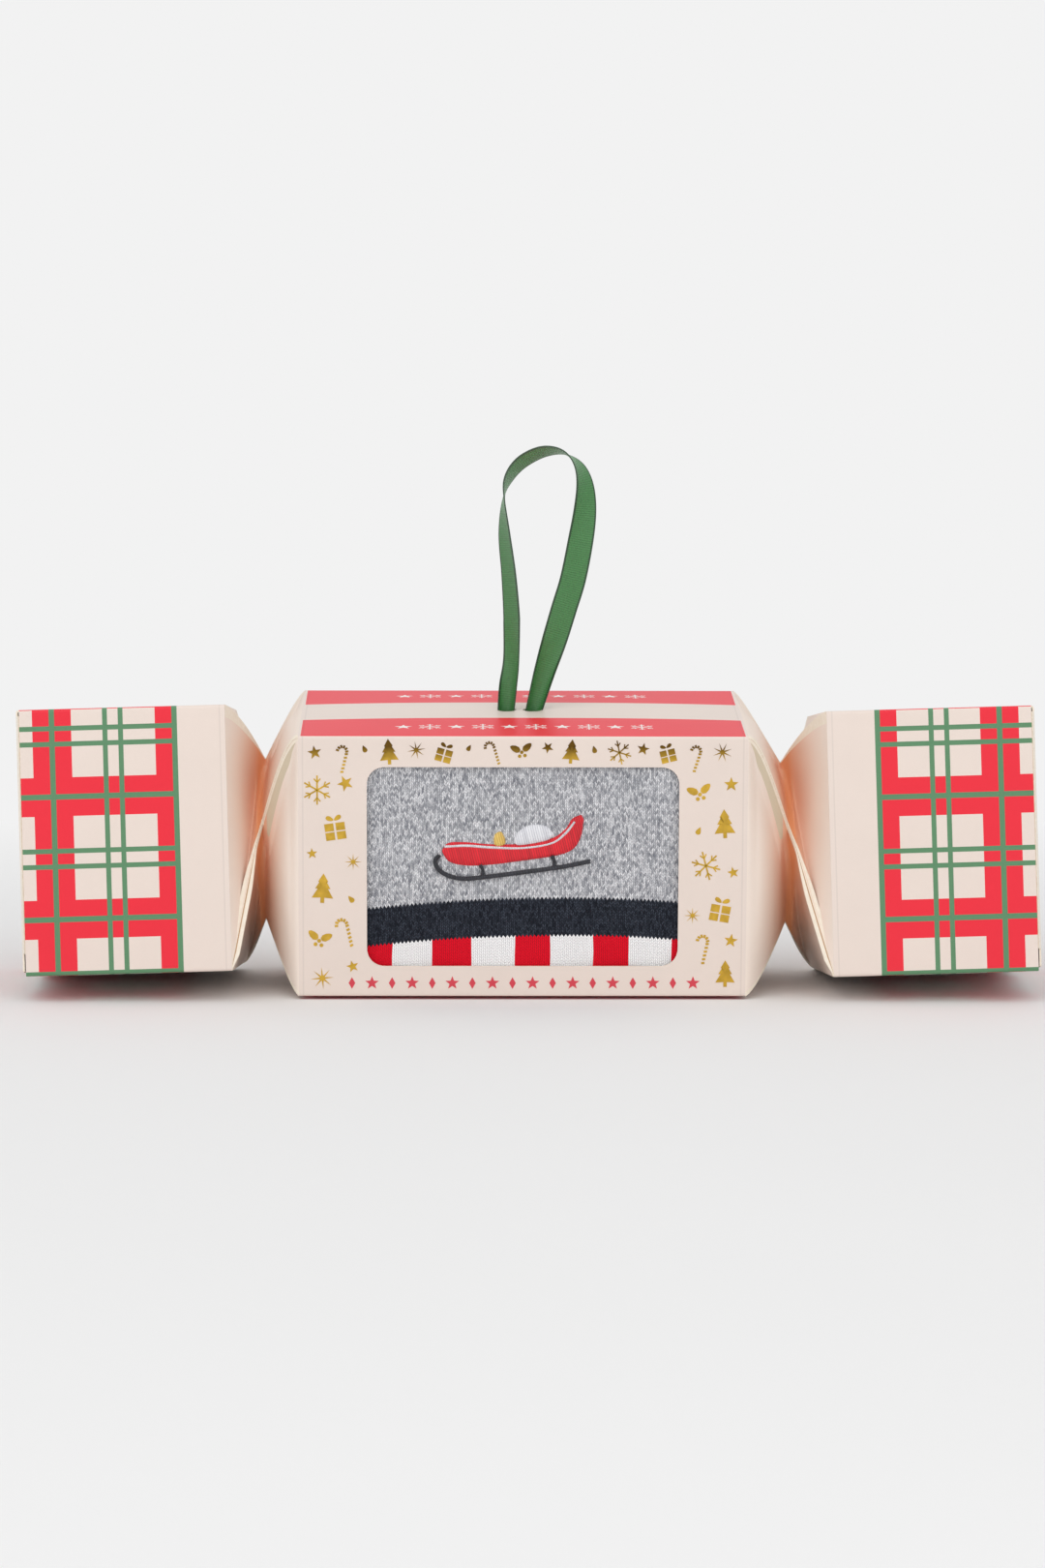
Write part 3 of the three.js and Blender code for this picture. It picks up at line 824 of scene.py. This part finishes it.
def cord_part(path, radius, round_points=16, looped=False):
    """A tube about a path: each ring stands on two directions square to the path, the first from
    a fixed helper direction and the second from their cross product. Its weave map takes 0.6 mm
    for each step of the path."""
    tangent = unit(np.roll(path, -1, 0) - np.roll(path, 1, 0) if looped else np.gradient(path, axis=0))
    side_way = unit(np.cross(tangent, [0.05, 0.1, 1.0]))
    a = np.linspace(0, 2 * np.pi, round_points, endpoint=False)[:, None]
    rings = path[:, None] + radius * (np.cos(a) * side_way[:, None] + np.sin(a) * np.cross(side_way, tangent)[:, None])
    rings = np.concatenate([rings, rings[:1]]) if looped else capped(rings)
    return tube_part(rings, weave=flat_map(np.arange(len(rings))[:, None] * 0.6, np.linspace(-3, 3, round_points)))


a = np.linspace(0, 2 * np.pi, 120, endpoint=False)
knot = np.stack([1.75 * (np.sin(a) + 2 * np.sin(2 * a)) - 0.5, 0.72 * (np.cos(a) - 2 * np.cos(2 * a)) + 0.2,
                 0.55 * np.sin(3 * a) + 31.4], -1)
piece("ribbon_knot_tied", [cord_part(placed(knot), 0.85, looped=True)], "centre_box", ("ribbon_knot",),
      (green_satin,), closed=True, merge=0.0005, angle=80)

# %% [markdown]
# ## End closures
#
# Each end is shut by a lid that hangs from the top panel, with a rounded flap that tucks in over
# the bottom panel, and by two dust flaps behind it. Lid and tuck are one strip of board: a path
# seen from the side, carried across the box, whose width narrows at the tuck and rounds off at
# its tip. The plaid runs over the fold without a break, because it comes from the flat blank.

# %% Lids


def bent_path(knots, step=0.5):
    """A path through straight runs and small arcs, given as many short steps: (e, z) points and
    the length walked to each."""
    points = [np.array(knots[:1], dtype=float)]
    for start, end in zip(knots[:-1], knots[1:]):
        count = max(2, int(np.hypot(*np.subtract(end, start)) / step))
        points.append(np.linspace(start, end, count + 1)[1:])
    points = np.concatenate(points)
    return points, walked(points)


def arc(middle, radius, start, end):
    """Five points on an arc between two angles in degrees."""
    angles = np.radians(np.linspace(start, end, 5))
    return [(middle[0] + radius * np.cos(a), middle[1] + radius * np.sin(a)) for a in angles]


def board_strip(name, points, u, v, flipped):
    """A part from a grid of points in an end box's frame, with its place on the flat blank."""
    quads = grid_faces(*points.shape[:2], ring=False)
    return placed(points, name), quads[:, ::-1] if flipped else quads, {"blank": flat_map(u, v)}


def closure_part(name):
    """Lid and tuck. Across the strip w runs from -1 to 1 and y = w times the half width, which is
    34.6 on the lid, 32.9 on the tuck, and falls on a quarter circle of 7 mm at the tuck's tip."""
    side, slope, heel, tuck_length, tip_radius = sides[name], np.radians(10), np.array([26.9, -34.08]), 14.8, 7
    lid_half_width, narrower = 34.6, 1.7
    tip = heel + tuck_length * np.array([-np.cos(slope), np.sin(slope)])
    route, along = bent_path([(end_half_length, half), *arc((end_half_length, 34.2), 0.8, 80, 0), (27.8, 10.0),
                              (27.8, -10.0), (27.8, -33.3), *arc((27.02, -33.3), 0.78, -15, -85), heel, tip])
    left = (along[-1] - along)[:, None]
    tuck = np.clip((15.3 - left) / 0.6 + 0.5, 0, 1)
    w = np.linspace(-1, 1, 41)
    rounded = np.sqrt(tip_radius ** 2 - np.clip(tip_radius - left, 0, tip_radius) ** 2) - tip_radius
    y = w * (lid_half_width - narrower * tuck + rounded)
    bow = 0.35 * np.sin(np.pi * np.clip(along / 68, 0, 1))[:, None] * np.cos(np.pi / 2 * w)
    points = np.stack([side * (route[:, :1] + bow), y, route[:, 1:] + 0 * y], -1)
    return board_strip(name, points, -along[:, None], 3.5 * side_length - y, side > 0)


for name in sides:
    piece(f"{name}_closure", [closure_part(name)], f"{name}_lid", (f"{name}_lid", f"{name}_lid_tuck"),
          end_boards, thick=board_thickness)

# %% [markdown]
# The dust flaps are plain board. Each starts at its panel's edge, turns through the crease and
# lies just inside the lid; its top edge slopes, so it clears the top panel when it swings out.

# %% Dust flaps
flap_boards = (plain_board("flap_board", cream, 0.55), board_inside, cut_edge)


def dust_flap_part(name, wall):
    """A sheet over depth w from the panel and height v: the foot is level and the top edge falls
    by half of w. Both tip corners are rounded with a quarter circle of 4 mm."""
    side = sides[name]
    route, along = bent_path([(end_half_length, 34.78), (27.2, 34.6), (27.12, 34.3), (26.86, 33.9), (26.8, 33.4),
                              (26.8, 3.3)])
    w, radius = half - route[:, 1:], 4
    corner = radius - np.sqrt(radius ** 2 - np.clip(radius - (w[-1] - w), 0, radius) ** 2)
    v = np.linspace(0, 1, 29)
    foot, top, slope = -29, 33.5, 0.5
    z = (corner + foot) * (1 - v) + (top - slope * w - corner) * v
    points = np.stack([side * route[:, :1] + 0 * z, wall * route[:, 1:] + 0 * z, z], -1)
    return board_strip(name, points, along[:, None], z, side * wall > 0)


for name in sides:
    for label, wall in (("front", -1), ("back", 1)):
        piece(f"{name}_{label}_flap_board", [dust_flap_part(name, wall)], f"{name}_{label}_flap",
              (f"{name}_{label}_dust_flap",), flap_boards, thick=board_thickness)

for name in ("centre", *sides):
    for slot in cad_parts[f"{name}_glue_flap"].material_slots:
        slot.material = board_inside

# %% [markdown]
# ## Foil motifs and printed ornaments
#
# The front panel carries small hot-stamped foil motifs round the window. Each is a thin plate a
# few hundredths of a millimetre high, so it catches the light along its edge as foil does. The
# motifs are plain outlines: trees, parcels, snow crystals, canes, holly and stars, laid out in
# this model's own order. All plates of one colour are one mesh.

# %% Motif outlines


def circle(degrees):
    """Points on a circle of radius one at some angles."""
    return np.stack([np.cos(np.radians(degrees)), np.sin(np.radians(degrees))], -1)


def spikes(count, inner):
    """A star: points at equal angles whose radius goes out to one and in by turns."""
    return circle(90 + np.arange(2 * count) * 180 / count) * np.tile([[1.0], [inner]], (count, 1))


def blob(centre, radii, turn=0, pinch=0.0, count=16):
    """An oval; pinch draws one end to a point, as on a leaf or a drop."""
    oval = circle(np.linspace(0, 360, count, endpoint=False))
    oval[:, 1] *= 1 - pinch * oval[:, 0]
    return swung(oval * radii, turn) + centre


def bar(start, end, width):
    """A straight bar between two points."""
    start, end = np.array(start, dtype=float), np.array(end, dtype=float)
    square = unit(end - start)[::-1] * [-1, 1] * width / 2
    return np.array([start - square, end - square, end + square, start + square])


def crystal():
    """Six arms with a small fork near each tip."""
    parts = []
    for angle in range(90, 450, 60):
        tip = circle(angle)
        parts.append(bar((0, 0), tip, 0.11))
        parts += [bar(0.52 * tip, 0.52 * tip + 0.34 * circle(angle + lean), 0.09) for lean in (-40, 40)]
    return parts


def fir():
    """Three tiers and a trunk, drawn down the right side and mirrored."""
    right = np.array([[0, 1], [0.3, 0.5], [0.19, 0.52], [0.47, 0.04], [0.3, 0.07], [0.66, -0.55], [0.12, -0.52],
                      [0.12, -0.85]])
    return [np.vstack([right, right[::-1] * [-1, 1]])]


def parcel():
    """Four quarters of a box with a bow of two loops."""
    quarter = np.array([[-0.3, -0.26], [0.3, -0.26], [0.3, 0.26], [-0.3, 0.26]])
    bow = [blob((side * 0.26, 0.62), (0.27, 0.15), turn, 0.3) for side, turn in ((-1, -28), (1, 208))]
    return [quarter + [x, z] for x in (-0.37, 0.37) for z in (-0.56, 0.04)] + bow


def cane():
    """A hook cut into slanting stripes: bars laid along a straight leg and a half circle."""
    leg = np.stack([np.full(6, 0.28), np.linspace(-1, 0.35, 6)], -1)
    route = np.vstack([leg, circle(np.linspace(15, 175, 6)) * [0.35, 0.38] + [-0.07, 0.45]])
    step = unit(np.gradient(route, axis=0))
    slant = 0.11 * step[:, ::-1] * [-1, 1] - 0.03 * step
    return [bar(place - way, place + way, 0.15) for place, way in zip(route, slant)]


def holly():
    """Two leaves and three berries."""
    leaves = [blob((side * 0.5, 0.34), (0.46, 0.27), turn, 0.25, 9) for side, turn in ((-1, 145), (1, 35))]
    return leaves + [blob(place, (0.15, 0.15), count=10) for place in ((0, -0.02), (-0.22, -0.32), (0.22, -0.32))]


motifs = {
    "fir": fir(), "parcel": parcel(), "crystal": crystal(), "cane": cane(), "holly": holly(), "star": [spikes(5, 0.42)],
    "ray_star": [spikes(8, 0.22)], "drop": [blob((0, 0), (0.9, 0.5), 90, 0.7, 14)], "lozenge": [spikes(2, 0.55)],
}
print("motifs:", ", ".join(motifs))

# %% [markdown]
# A plate is four rings: its middle and outline at the back, its outline and middle at the front.
# The places are on the flat blank, so the same fold formula lays each plate on its panel.

# %% Plates on the board


def plates(placements, panel, height):
    """Plates for (motif, x, t, size, turn) places on one panel of the centre box."""
    parts = []
    for motif, x, t, size, turn in placements:
        for outline in motifs[motif]:
            shape = swung(outline * size, turn) * [1, -1] + [x, t]
            middle = shape.mean(axis=0) + 0 * shape
            rings = np.stack([middle, shape, shape, middle])
            lift = np.array([-0.1, -0.1, height, height])[:, None] + np.zeros(len(shape))
            along, s = rings[..., 0], (panel + 0.5) * side_length + rings[..., 1]
            points = fold(along, s, centre_swells[panel](along), lift)
            parts.append(tube_part(placed(points), blank=rings.reshape(-1, 2)))
    return parts


gold_places = [
    ("star", -54.6, -30.6, 1.9, 10), ("cane", -47.6, -29.2, 3.6, -14), ("drop", -41.6, -31.6, 1.1, 25),
    ("fir", -35.2, -30.6, 3.7, 4), ("ray_star", -28.0, -31.3, 2.4, 10), ("parcel", -20.6, -30.6, 3.1, -16),
    ("drop", -14.2, -31.9, 1.0, -30), ("cane", -8.2, -30.7, 3.3, 16), ("holly", -0.4, -30.8, 3.2, 8),
    ("star", 6.4, -32.0, 1.6, 30), ("fir", 12.6, -30.7, 3.5, -5), ("drop", 18.6, -31.5, 1.1, 15),
    ("crystal", 25.2, -30.7, 3.2, 12), ("star", 31.4, -31.6, 1.7, -12), ("parcel", 37.8, -30.5, 3.0, 14),
    ("cane", 45.0, -29.4, 3.5, -18), ("ray_star", 52.2, -30.8, 2.6, 20), ("crystal", -54.0, -20.6, 3.9, 0),
    ("star", -46.6, -22.4, 2.2, 25), ("parcel", -49.4, -10.6, 4.0, 8), ("star", -55.4, -3.6, 1.5, 5),
    ("ray_star", -44.6, -1.4, 2.2, 0), ("fir", -52.6, 6.0, 4.3, -3), ("drop", -45.2, 8.6, 1.2, 40),
    ("cane", -47.0, 17.4, 4.0, 12), ("holly", -53.6, 19.8, 3.6, -10), ("star", -44.8, 26.8, 1.7, 15),
    ("ray_star", -52.8, 30.0, 3.0, 5), ("holly", 46.4, -19.6, 3.6, 12), ("star", 54.6, -22.2, 2.0, 0),
    ("fir", 53.0, -11.4, 4.2, 3), ("drop", 46.2, -9.8, 1.2, -25), ("crystal", 48.2, -0.4, 3.9, 15),
    ("star", 55.4, 1.4, 1.6, 12), ("parcel", 52.2, 11.4, 3.9, -10), ("ray_star", 44.8, 13.0, 2.2, 0),
    ("star", 55.0, 19.8, 1.9, -8), ("cane", 47.4, 21.8, 3.9, -12), ("fir", 53.6, 29.0, 3.9, 0),
]
back_order = [("fir", 4.2, 4), ("crystal", 3.8, 10), ("cane", 3.9, -12), ("star", 2.2, 0), ("parcel", 3.8, 9),
              ("ray_star", 2.8, 5), ("holly", 3.6, -8)]
back_places = [(motif, 118 * (k % 8 - 3.5) / 8.6 + 3 * (k // 8 % 2) - 1.5, 11.2 * (k // 8) - 28, size, turn + 180)
               for k, (motif, size, turn) in enumerate((7 * back_order)[:48])]
red_places = [("star" if k % 2 else "lozenge", 5.3 * k - 45, 31.3, 1.9 if k % 2 else 1.6, 0) for k in range(18)]
white_places = [("crystal" if k % 2 else "star", 7.0 * k - 31.5, t, 3.3 if k % 2 else 2.4, 0)
                for t in (23.3, -23.3) for k in range(10)]


def foil():
    """Gold foil: a metal with fine crinkles. Its colour is painted from gold to dark brown over 4 mm of
    height near the top of the face, a painted reflection of the dim room above and the pale table below."""
    finish = Finish("gold_foil", 0.3, Metallic=0.8)
    crinkle = finish.noise(finish.point(), 420, 3)
    dark_from, rise = 0.0635, 240.0
    # painted reflection: above 63.5 mm the foil colour is painted dark brown, for the dim room mirrored near the top of
    # the face
    lit = 1.0 - finish.clipped((finish.split(finish.point())[2] - dark_from) * rise) * 0.9
    share = finish.math("MINIMUM", (crinkle * 0.8 + 0.4) * lit, 1.0)
    return finish.finished(finish.mix(share, ink(84, 54, 10), ink(232, 188, 72)), crinkle, 0.00005, 0.7)


def printed_ink(name, colour):
    return board_grain(Finish(name, 0.45, Specular_IOR_Level=0.4), colour, 0.00001)


for name, parts, finish in (
        ("foil_motifs", plates(gold_places, 0, 0.05) + plates(back_places, 2, 0.05), foil()),
        ("red_ornaments", plates(red_places, 0, 0.02), printed_ink("red_ink", ink(214, 66, 80))),
        ("white_ornaments", plates(white_places, 3, 0.02), printed_ink("white_ink", ink(246, 240, 236)))):
    piece(name, parts, "centre_box", (), (finish,), merge=0.0002)

# %% [markdown]
# ## Socks
#
# A pair of socks is folded into a thick soft pad that fills the box. The pad's outline and its
# profile are both superellipses, which are boxes with full round folds; grooves round the side
# walls show the folded layers. It stands close behind the window, so the knit presses towards it.
# The stitches are far too many to model, so they are drawn by the finish, in colour and relief.

# %% Sock form
sock_half = np.array([54.0, 15.95, 32.85])
sock_middles = {"front_sock": np.array([0, -16.25, -1.35]), "back_sock": np.array([0, 17.0, -1.35])}


def superellipse(start, end, stretch, count):
    """Points of |a|^5 + |b|^5 = 1 between two angles, spread evenly by length at its true size."""
    round_way = circle(np.linspace(start, end, 6000))
    curve = np.sign(round_way) * np.abs(round_way) ** 0.4
    along = walked(curve * stretch)
    even = np.linspace(0, along[-1], count)
    return np.stack([np.interp(even, along, curve[:, k]) for k in (0, 1)], -1)


def rumple(x, z):
    """Soft hollows and crowns of the knit, in mm: a few long waves of sines."""
    return 0.22 * np.sin(x / 11 + z / 17 + 0.4) + 0.16 * np.sin(x / 7 - z / 9 + 2.0) + 0.12 * np.sin(z / 5 + x / 23)


def pressed(ratio):
    """How far the knit bulges past the superellipse so that its face is flat, in mm."""
    return (17.5 - sock_half[1] * (1 - ratio) ** 0.2) * ease(1 - ratio, 0, 0.4)


def sock_front(x, z):
    """Depth of the front sock's face at a place: pressed flat behind the window, rounding back to
    the superellipse over the outer third, plus the rumple."""
    middle = sock_middles["front_sock"]
    ratio = np.clip(np.abs(x / sock_half[0]) ** 5 + np.abs((z - middle[2]) / sock_half[2]) ** 5, 0, 1)
    waves = rumple(x, z) * np.clip((1 - ratio) * 3, 0, 1)
    return middle[1] - sock_half[1] * (1 - ratio) ** 0.2 - pressed(ratio) + waves


def sock_part(name):
    """A pad of rings: the profile gives each ring's reach and depth, the outline its shape. The
    knit map lays the face flat and carries on down the side walls."""
    middle = sock_middles[name]
    facing = -1 if name == "front_sock" else 1
    reach, depth = superellipse(-90, 90, (42.0, 16.0), 74)[:, :, None].transpose(1, 0, 2)
    outline = superellipse(0, 360, (54.0, 32.85), 181)[:-1]
    reach = reach * (1 - 0.045 * np.exp(-((depth - [-0.52, 0.0, 0.5]) / 0.055) ** 2).sum(axis=1, keepdims=True))
    x, z = sock_half[0] * reach * outline[:, 0], sock_half[2] * reach * outline[:, 1]
    face = np.clip(1 - reach ** 5, 0, 1)
    shown_side = np.sign(depth) == facing
    crown = np.where(shown_side, facing * pressed(1 - face), -0.15 * facing * np.sqrt(face))
    waves = rumple(x, z + middle[2]) * np.clip(face * 3, 0, 1) * np.where(shown_side, 1, 0.3)
    wall = np.clip((depth + 0.8) / 1.8, 0, 1) * 32 * reach
    knit_map = flat_map(x + wall * outline[:, 0], z + middle[2] + wall * outline[:, 1])
    return tube_part(placed(np.stack([x, sock_half[1] * depth + crown + waves, z], -1) + middle), knit=knit_map)


print("the front sock's face stands", -round(sock_front(0.0, 0.0), 2), "mm in front of the centre box's middle")

# %% [markdown]
# The knit is plain stocking stitch. Each stitch is a V, 1.04 mm wide and 0.78 mm high, so a place
# is turned into a column and a row that is bent up on both sides of the column's middle. The grey
# yarn is spun from light and dark fibres and gets its own grey in each stitch. A black band and
# red and white blocks are knitted in along the rows, and their edges step with the stitches.

# %% Knit finish
wale, course, band_low, band_high = 1.04, 0.78, -24.5, -11.5
block_pitch, block_shift, white_share = 21.1, 34.7, 0.524


def knit():
    """inside is the way from a column's middle to its edge, rows counts courses upwards along a
    gentle parabola, as the sock is folded, and height is the round yarn of each leg of the V."""
    finish = Finish("grey_knit", 0.9, Specular_IOR_Level=0.1, Sheen_Weight=0.06, Sheen_Roughness=0.6)
    x, z = finish.uv("knit")
    row_middle, row_bend, row_shift = 10.0, 0.00115, 0.35
    away = x - row_middle
    lean = finish.noise(finish.joined(x, z), 0.07, 1) - 0.5
    column_place = (x + lean) / wale
    column = finish.math("FLOOR", column_place)
    aside = column_place - column - 0.5
    inside = abs(aside)
    rows = (z + (away * away * row_bend + row_shift)) / course - inside * 1.9
    row = finish.math("FLOOR", rows)
    beside = finish.sine(inside, 1)
    height = finish.math("MAXIMUM", finish.sine(rows - row, 2) * beside, 0.0) ** 0.6
    own = finish.speckle(finish.joined(column * 2.0 + (aside > 0.0), row, 3.0))
    cloud = finish.noise(finish.joined(x, z * 2.2), 0.35, 3)
    grey = finish.mix(own * 0.62 + cloud * 0.5 - 0.1, ink(104, 107, 118), ink(252, 252, 255))
    # painted light: the black yarn is painted lighter on each yarn's crown, mixed with its own random tone per stitch
    black = finish.mix(own * height, ink(22, 26, 36), ink(66, 72, 84))
    white = finish.math("FRACT", ((column + 0.5) * wale + block_shift) / block_pitch) < white_share
    blocks = finish.mix(white, ink(232, 8, 38), ink(255, 254, 255))
    colour = finish.mix(row < band_low, finish.mix(finish.within(row, band_low, band_high), grey, black), blocks)
    fibre = finish.noise(finish.joined(x, z), 3.2, 2) * 0.16 + 0.9
    shade = height * 0.4 + beside * 0.16 + 0.72
    return finish.finished(finish.scaled(colour, shade * fibre), height, 0.00022, 0.9)


grey_knit = knit()
for name in sock_middles:
    sock = piece(f"{name}_folded", [sock_part(name)], "centre_box", (name,), (grey_knit,),
                 closed=True, angle=80)

# %% [markdown]
# ## Embroidered sleigh
#
# A small motif is embroidered on the front sock: a long low red sleigh with black runners, a white
# sack and white piping. Satin stitch lies thick on the knit, so each area is a low dome and each
# line a cord, and the finish draws the threads side by side.

# %% Embroidery
sleigh_turn, sleigh_middle = 7.0, np.array([-2.0, 3.4])


def on_sock(points, lift):
    """Places flat (a, b) points on the front sock: turned, moved, and lifted off the knit."""
    x, z = np.moveaxis(swung(points, sleigh_turn) + sleigh_middle, -1, 0)
    return placed(np.stack([x, sock_front(x, z) - lift, z], -1))


def stitched_area(low, high, thick=0.55, columns=9):
    """A dome between a lower and an upper edge with the same number of points. Across it the
    height is thick times 1 minus the fourth power of the way from the middle; it closes below."""
    low, high = (smooth_route(edge, 12 * (len(edge) - 1) + 1)[:, None] for edge in (low, high))
    w = np.linspace(-1, 1, columns)
    grid = low + (high - low) * ((w + 1) / 2)[:, None]
    place = np.arange(len(low))[:, None]
    ends = np.clip(np.minimum(place, place[::-1]) / 6, 0, 1) ** 0.5
    lift = thick * (1 - w ** 4) * (0.35 + 0.65 * ends)
    rings = np.concatenate([on_sock(grid, lift + 0.1), on_sock(grid, 0 * lift - 0.25)[:, ::-1]], axis=1)
    flat = np.pad(np.concatenate([grid, grid[:, ::-1]], axis=1), ((1, 1), (0, 0), (0, 0)), mode="edge")
    return tube_part(capped(rings), thread=flat.reshape(-1, 2))


def stitched_line(knots, radius, steps):
    """A cord along a smooth curve, half sunk into the knit."""
    points, faces, extras = cord_part(on_sock(smooth_route(knots, steps), radius * 0.5 + 0.15), radius, 10)
    return points, faces, {"thread": extras["weave"] * 0.8}


def thread_finish(name, dark, light):
    """Satin stitch: threads 0.62 mm apart that run across the shape, each with its own tone and
    painted shade: lighter on its round crown, darker between threads.
    """
    finish = Finish(name, 0.5, Specular_IOR_Level=0.5, Sheen_Weight=0.2)
    a, b = finish.uv("thread")
    thread_pitch, slant = 0.62, 0.12
    place = (a + b * slant) / thread_pitch
    number = finish.math("FLOOR", place)
    round_thread = finish.sine(place - number, 2)
    own = finish.speckle(finish.joined(number, 1.0, 5.0))
    # painted shade: each thread's colour is lighter on its round crown and darker between threads, mixed with its own
    # random tone
    return finish.finished(finish.mix(round_thread * 0.6 + own * 0.4, dark, light), round_thread, 0.00016, 0.8)


red_thread = thread_finish("red_thread", ink(172, 4, 24), ink(244, 24, 44))
black_thread = thread_finish("black_thread", ink(16, 17, 22), ink(48, 50, 60))
white_thread = thread_finish("white_thread", ink(196, 196, 204), ink(246, 246, 250))
gold_thread = thread_finish("gold_thread", ink(196, 150, 60), ink(240, 205, 110))
body = stitched_area([(-19.0, 2.6), (-17.4, 0.0), (-13, -1.6), (-6, -2.2), (3, -2.2), (11, -1.9), (15.4, -0.6),
                      (17.8, 2.6), (19.0, 7.0)],
                     [(-19.0, 3.4), (-17.0, 5.0), (-12.4, 4.6), (-6, 3.2), (3, 2.2), (10, 2.8), (13.8, 4.8),
                      (16.0, 7.4), (18.4, 8.2)])
runner = stitched_line([(19.4, -4.4), (12, -5.0), (2, -5.2), (-8, -5.2), (-15, -4.8), (-19.6, -2.6), (-21.2, 0.4),
                        (-19.8, 2.2)], 0.62, 120)
struts = [stitched_line([(a, -1.8), (a + 0.5, -3.4), (a + 0.1, -5.0)], 0.5, 14) for a in (-9.5, 9.5)]
sack = stitched_area([(0.2, 2.6), (1.4, 1.9), (5.0, 1.9), (9.0, 2.4), (10.4, 3.4)],
                     [(0.0, 3.6), (1.4, 5.6), (4.6, 7.0), (8.6, 6.4), (10.6, 4.2)], 0.8)
piping = stitched_line([(-18.2, 4.2), (-12.4, 3.7), (-6, 2.4), (2, 1.2), (9.6, 1.5), (13.6, 3.6), (16.6, 6.6)],
                       0.36, 90)
lantern = stitched_area([(-5.2, 3.0), (-4.4, 2.4), (-3.0, 2.4), (-2.2, 3.0)],
                        [(-5.2, 4.4), (-4.6, 5.8), (-3.0, 6.2), (-2.2, 4.6)], 0.6)
for name, parts, thread in (
        ("body", [body], red_thread), ("runners", [runner, *struts], black_thread), ("sack", [sack], white_thread),
        ("piping", [piping], white_thread), ("lantern", [lantern], gold_thread)):
    piece(f"sleigh_{name}", parts, "centre_box", (), (thread,), closed=True, angle=60, merge=0.0005)

# %% [markdown]
# ## Floor, light and background
#
# A plain pale floor and backdrop, one large soft lamp above and in front, one weaker lamp at each
# side and an even pale world. The lamps stay low, so each colour renders about as it was mixed.
# Behind the object the paper gives an even glow to the camera alone, over 0.3 m of its depth.

# %% Stage
paper = Finish("studio_paper", 0.9, Specular_IOR_Level=0.1)
tone = paper.mix(paper.noise(paper.point(), 3, 2), ink(236, 236, 236), ink(240, 240, 240))
paper.plug(paper.shader.inputs["Base Color"], tone)
camera_ray, glossy_ray, clear_ray = (paper.node("LightPath", output=f"Is {kind} Ray")
                                     for kind in ("Camera", "Glossy", "Transmission"))
seen = paper.math("MAXIMUM", camera_ray, paper.math("MAXIMUM", glossy_ray, clear_ray))
behind = paper.clipped(paper.split(paper.point())[1] * 3.0 - 0.3)
glow = paper.node("Emission", {0: ink(242, 242, 242)})
surface = paper.node("MixShader", {0: seen * behind, 1: Value(paper, paper.shader.outputs[0]), 2: glow})
paper.plug(paper.tree.nodes["Material Output"].inputs["Surface"], surface)
bend, bend_start, bend_radius, wall_y = np.linspace(0.1, np.pi / 2, 16), 1.2, 0.6, 1.8
sweep_y = np.concatenate([np.linspace(-3, bend_start, 12), bend_start + bend_radius * np.sin(bend), [wall_y, wall_y]])
sweep_z = np.concatenate([np.zeros(12), bend_radius - bend_radius * np.cos(bend), [1.6, 3.0]])
sweep = np.stack(np.broadcast_arrays(np.linspace(-3, 3, 7)[:, None], sweep_y, sweep_z), -1)
floor_mesh = bpy.data.meshes.new("studio_sweep")
floor_mesh.from_pydata(sweep.reshape(-1, 3).tolist(), [], grid_faces(*sweep.shape[:2], ring=False)[:, ::-1].tolist())
floor_mesh.materials.append(paper.material)
floor_mesh.shade_smooth()
shown("studio_sweep", floor_mesh)
for name, place, size, power in (
        ("lamp_above", (-0.2, -1.0, 1.4), 1.4, 6.0), ("lamp_left", (-1.0, -1.4, 0.4), 1.0, 2.6),
        ("lamp_right", (1.0, -1.4, 0.4), 1.0, 2.6)):
    lamp = bpy.data.lights.new(name, "AREA")
    lamp.size, lamp.energy = size, power
    away = Vector(place) - Vector((0, 0, 0.05))
    shown(name, lamp).matrix_world = Matrix.Translation(place) @ away.to_track_quat("Z", "Y").to_matrix().to_4x4()
world = bpy.data.worlds.new("studio")
world.use_nodes = True
world.node_tree.nodes["Background"].inputs[0].default_value = (1, 1, 1, 1)
world.node_tree.nodes["Background"].inputs[1].default_value = 0.78
bpy.context.scene.world = world
bpy.context.scene.view_settings.view_transform = "Standard"
print("lamps:", ", ".join(lamp.name for lamp in bpy.data.lights))
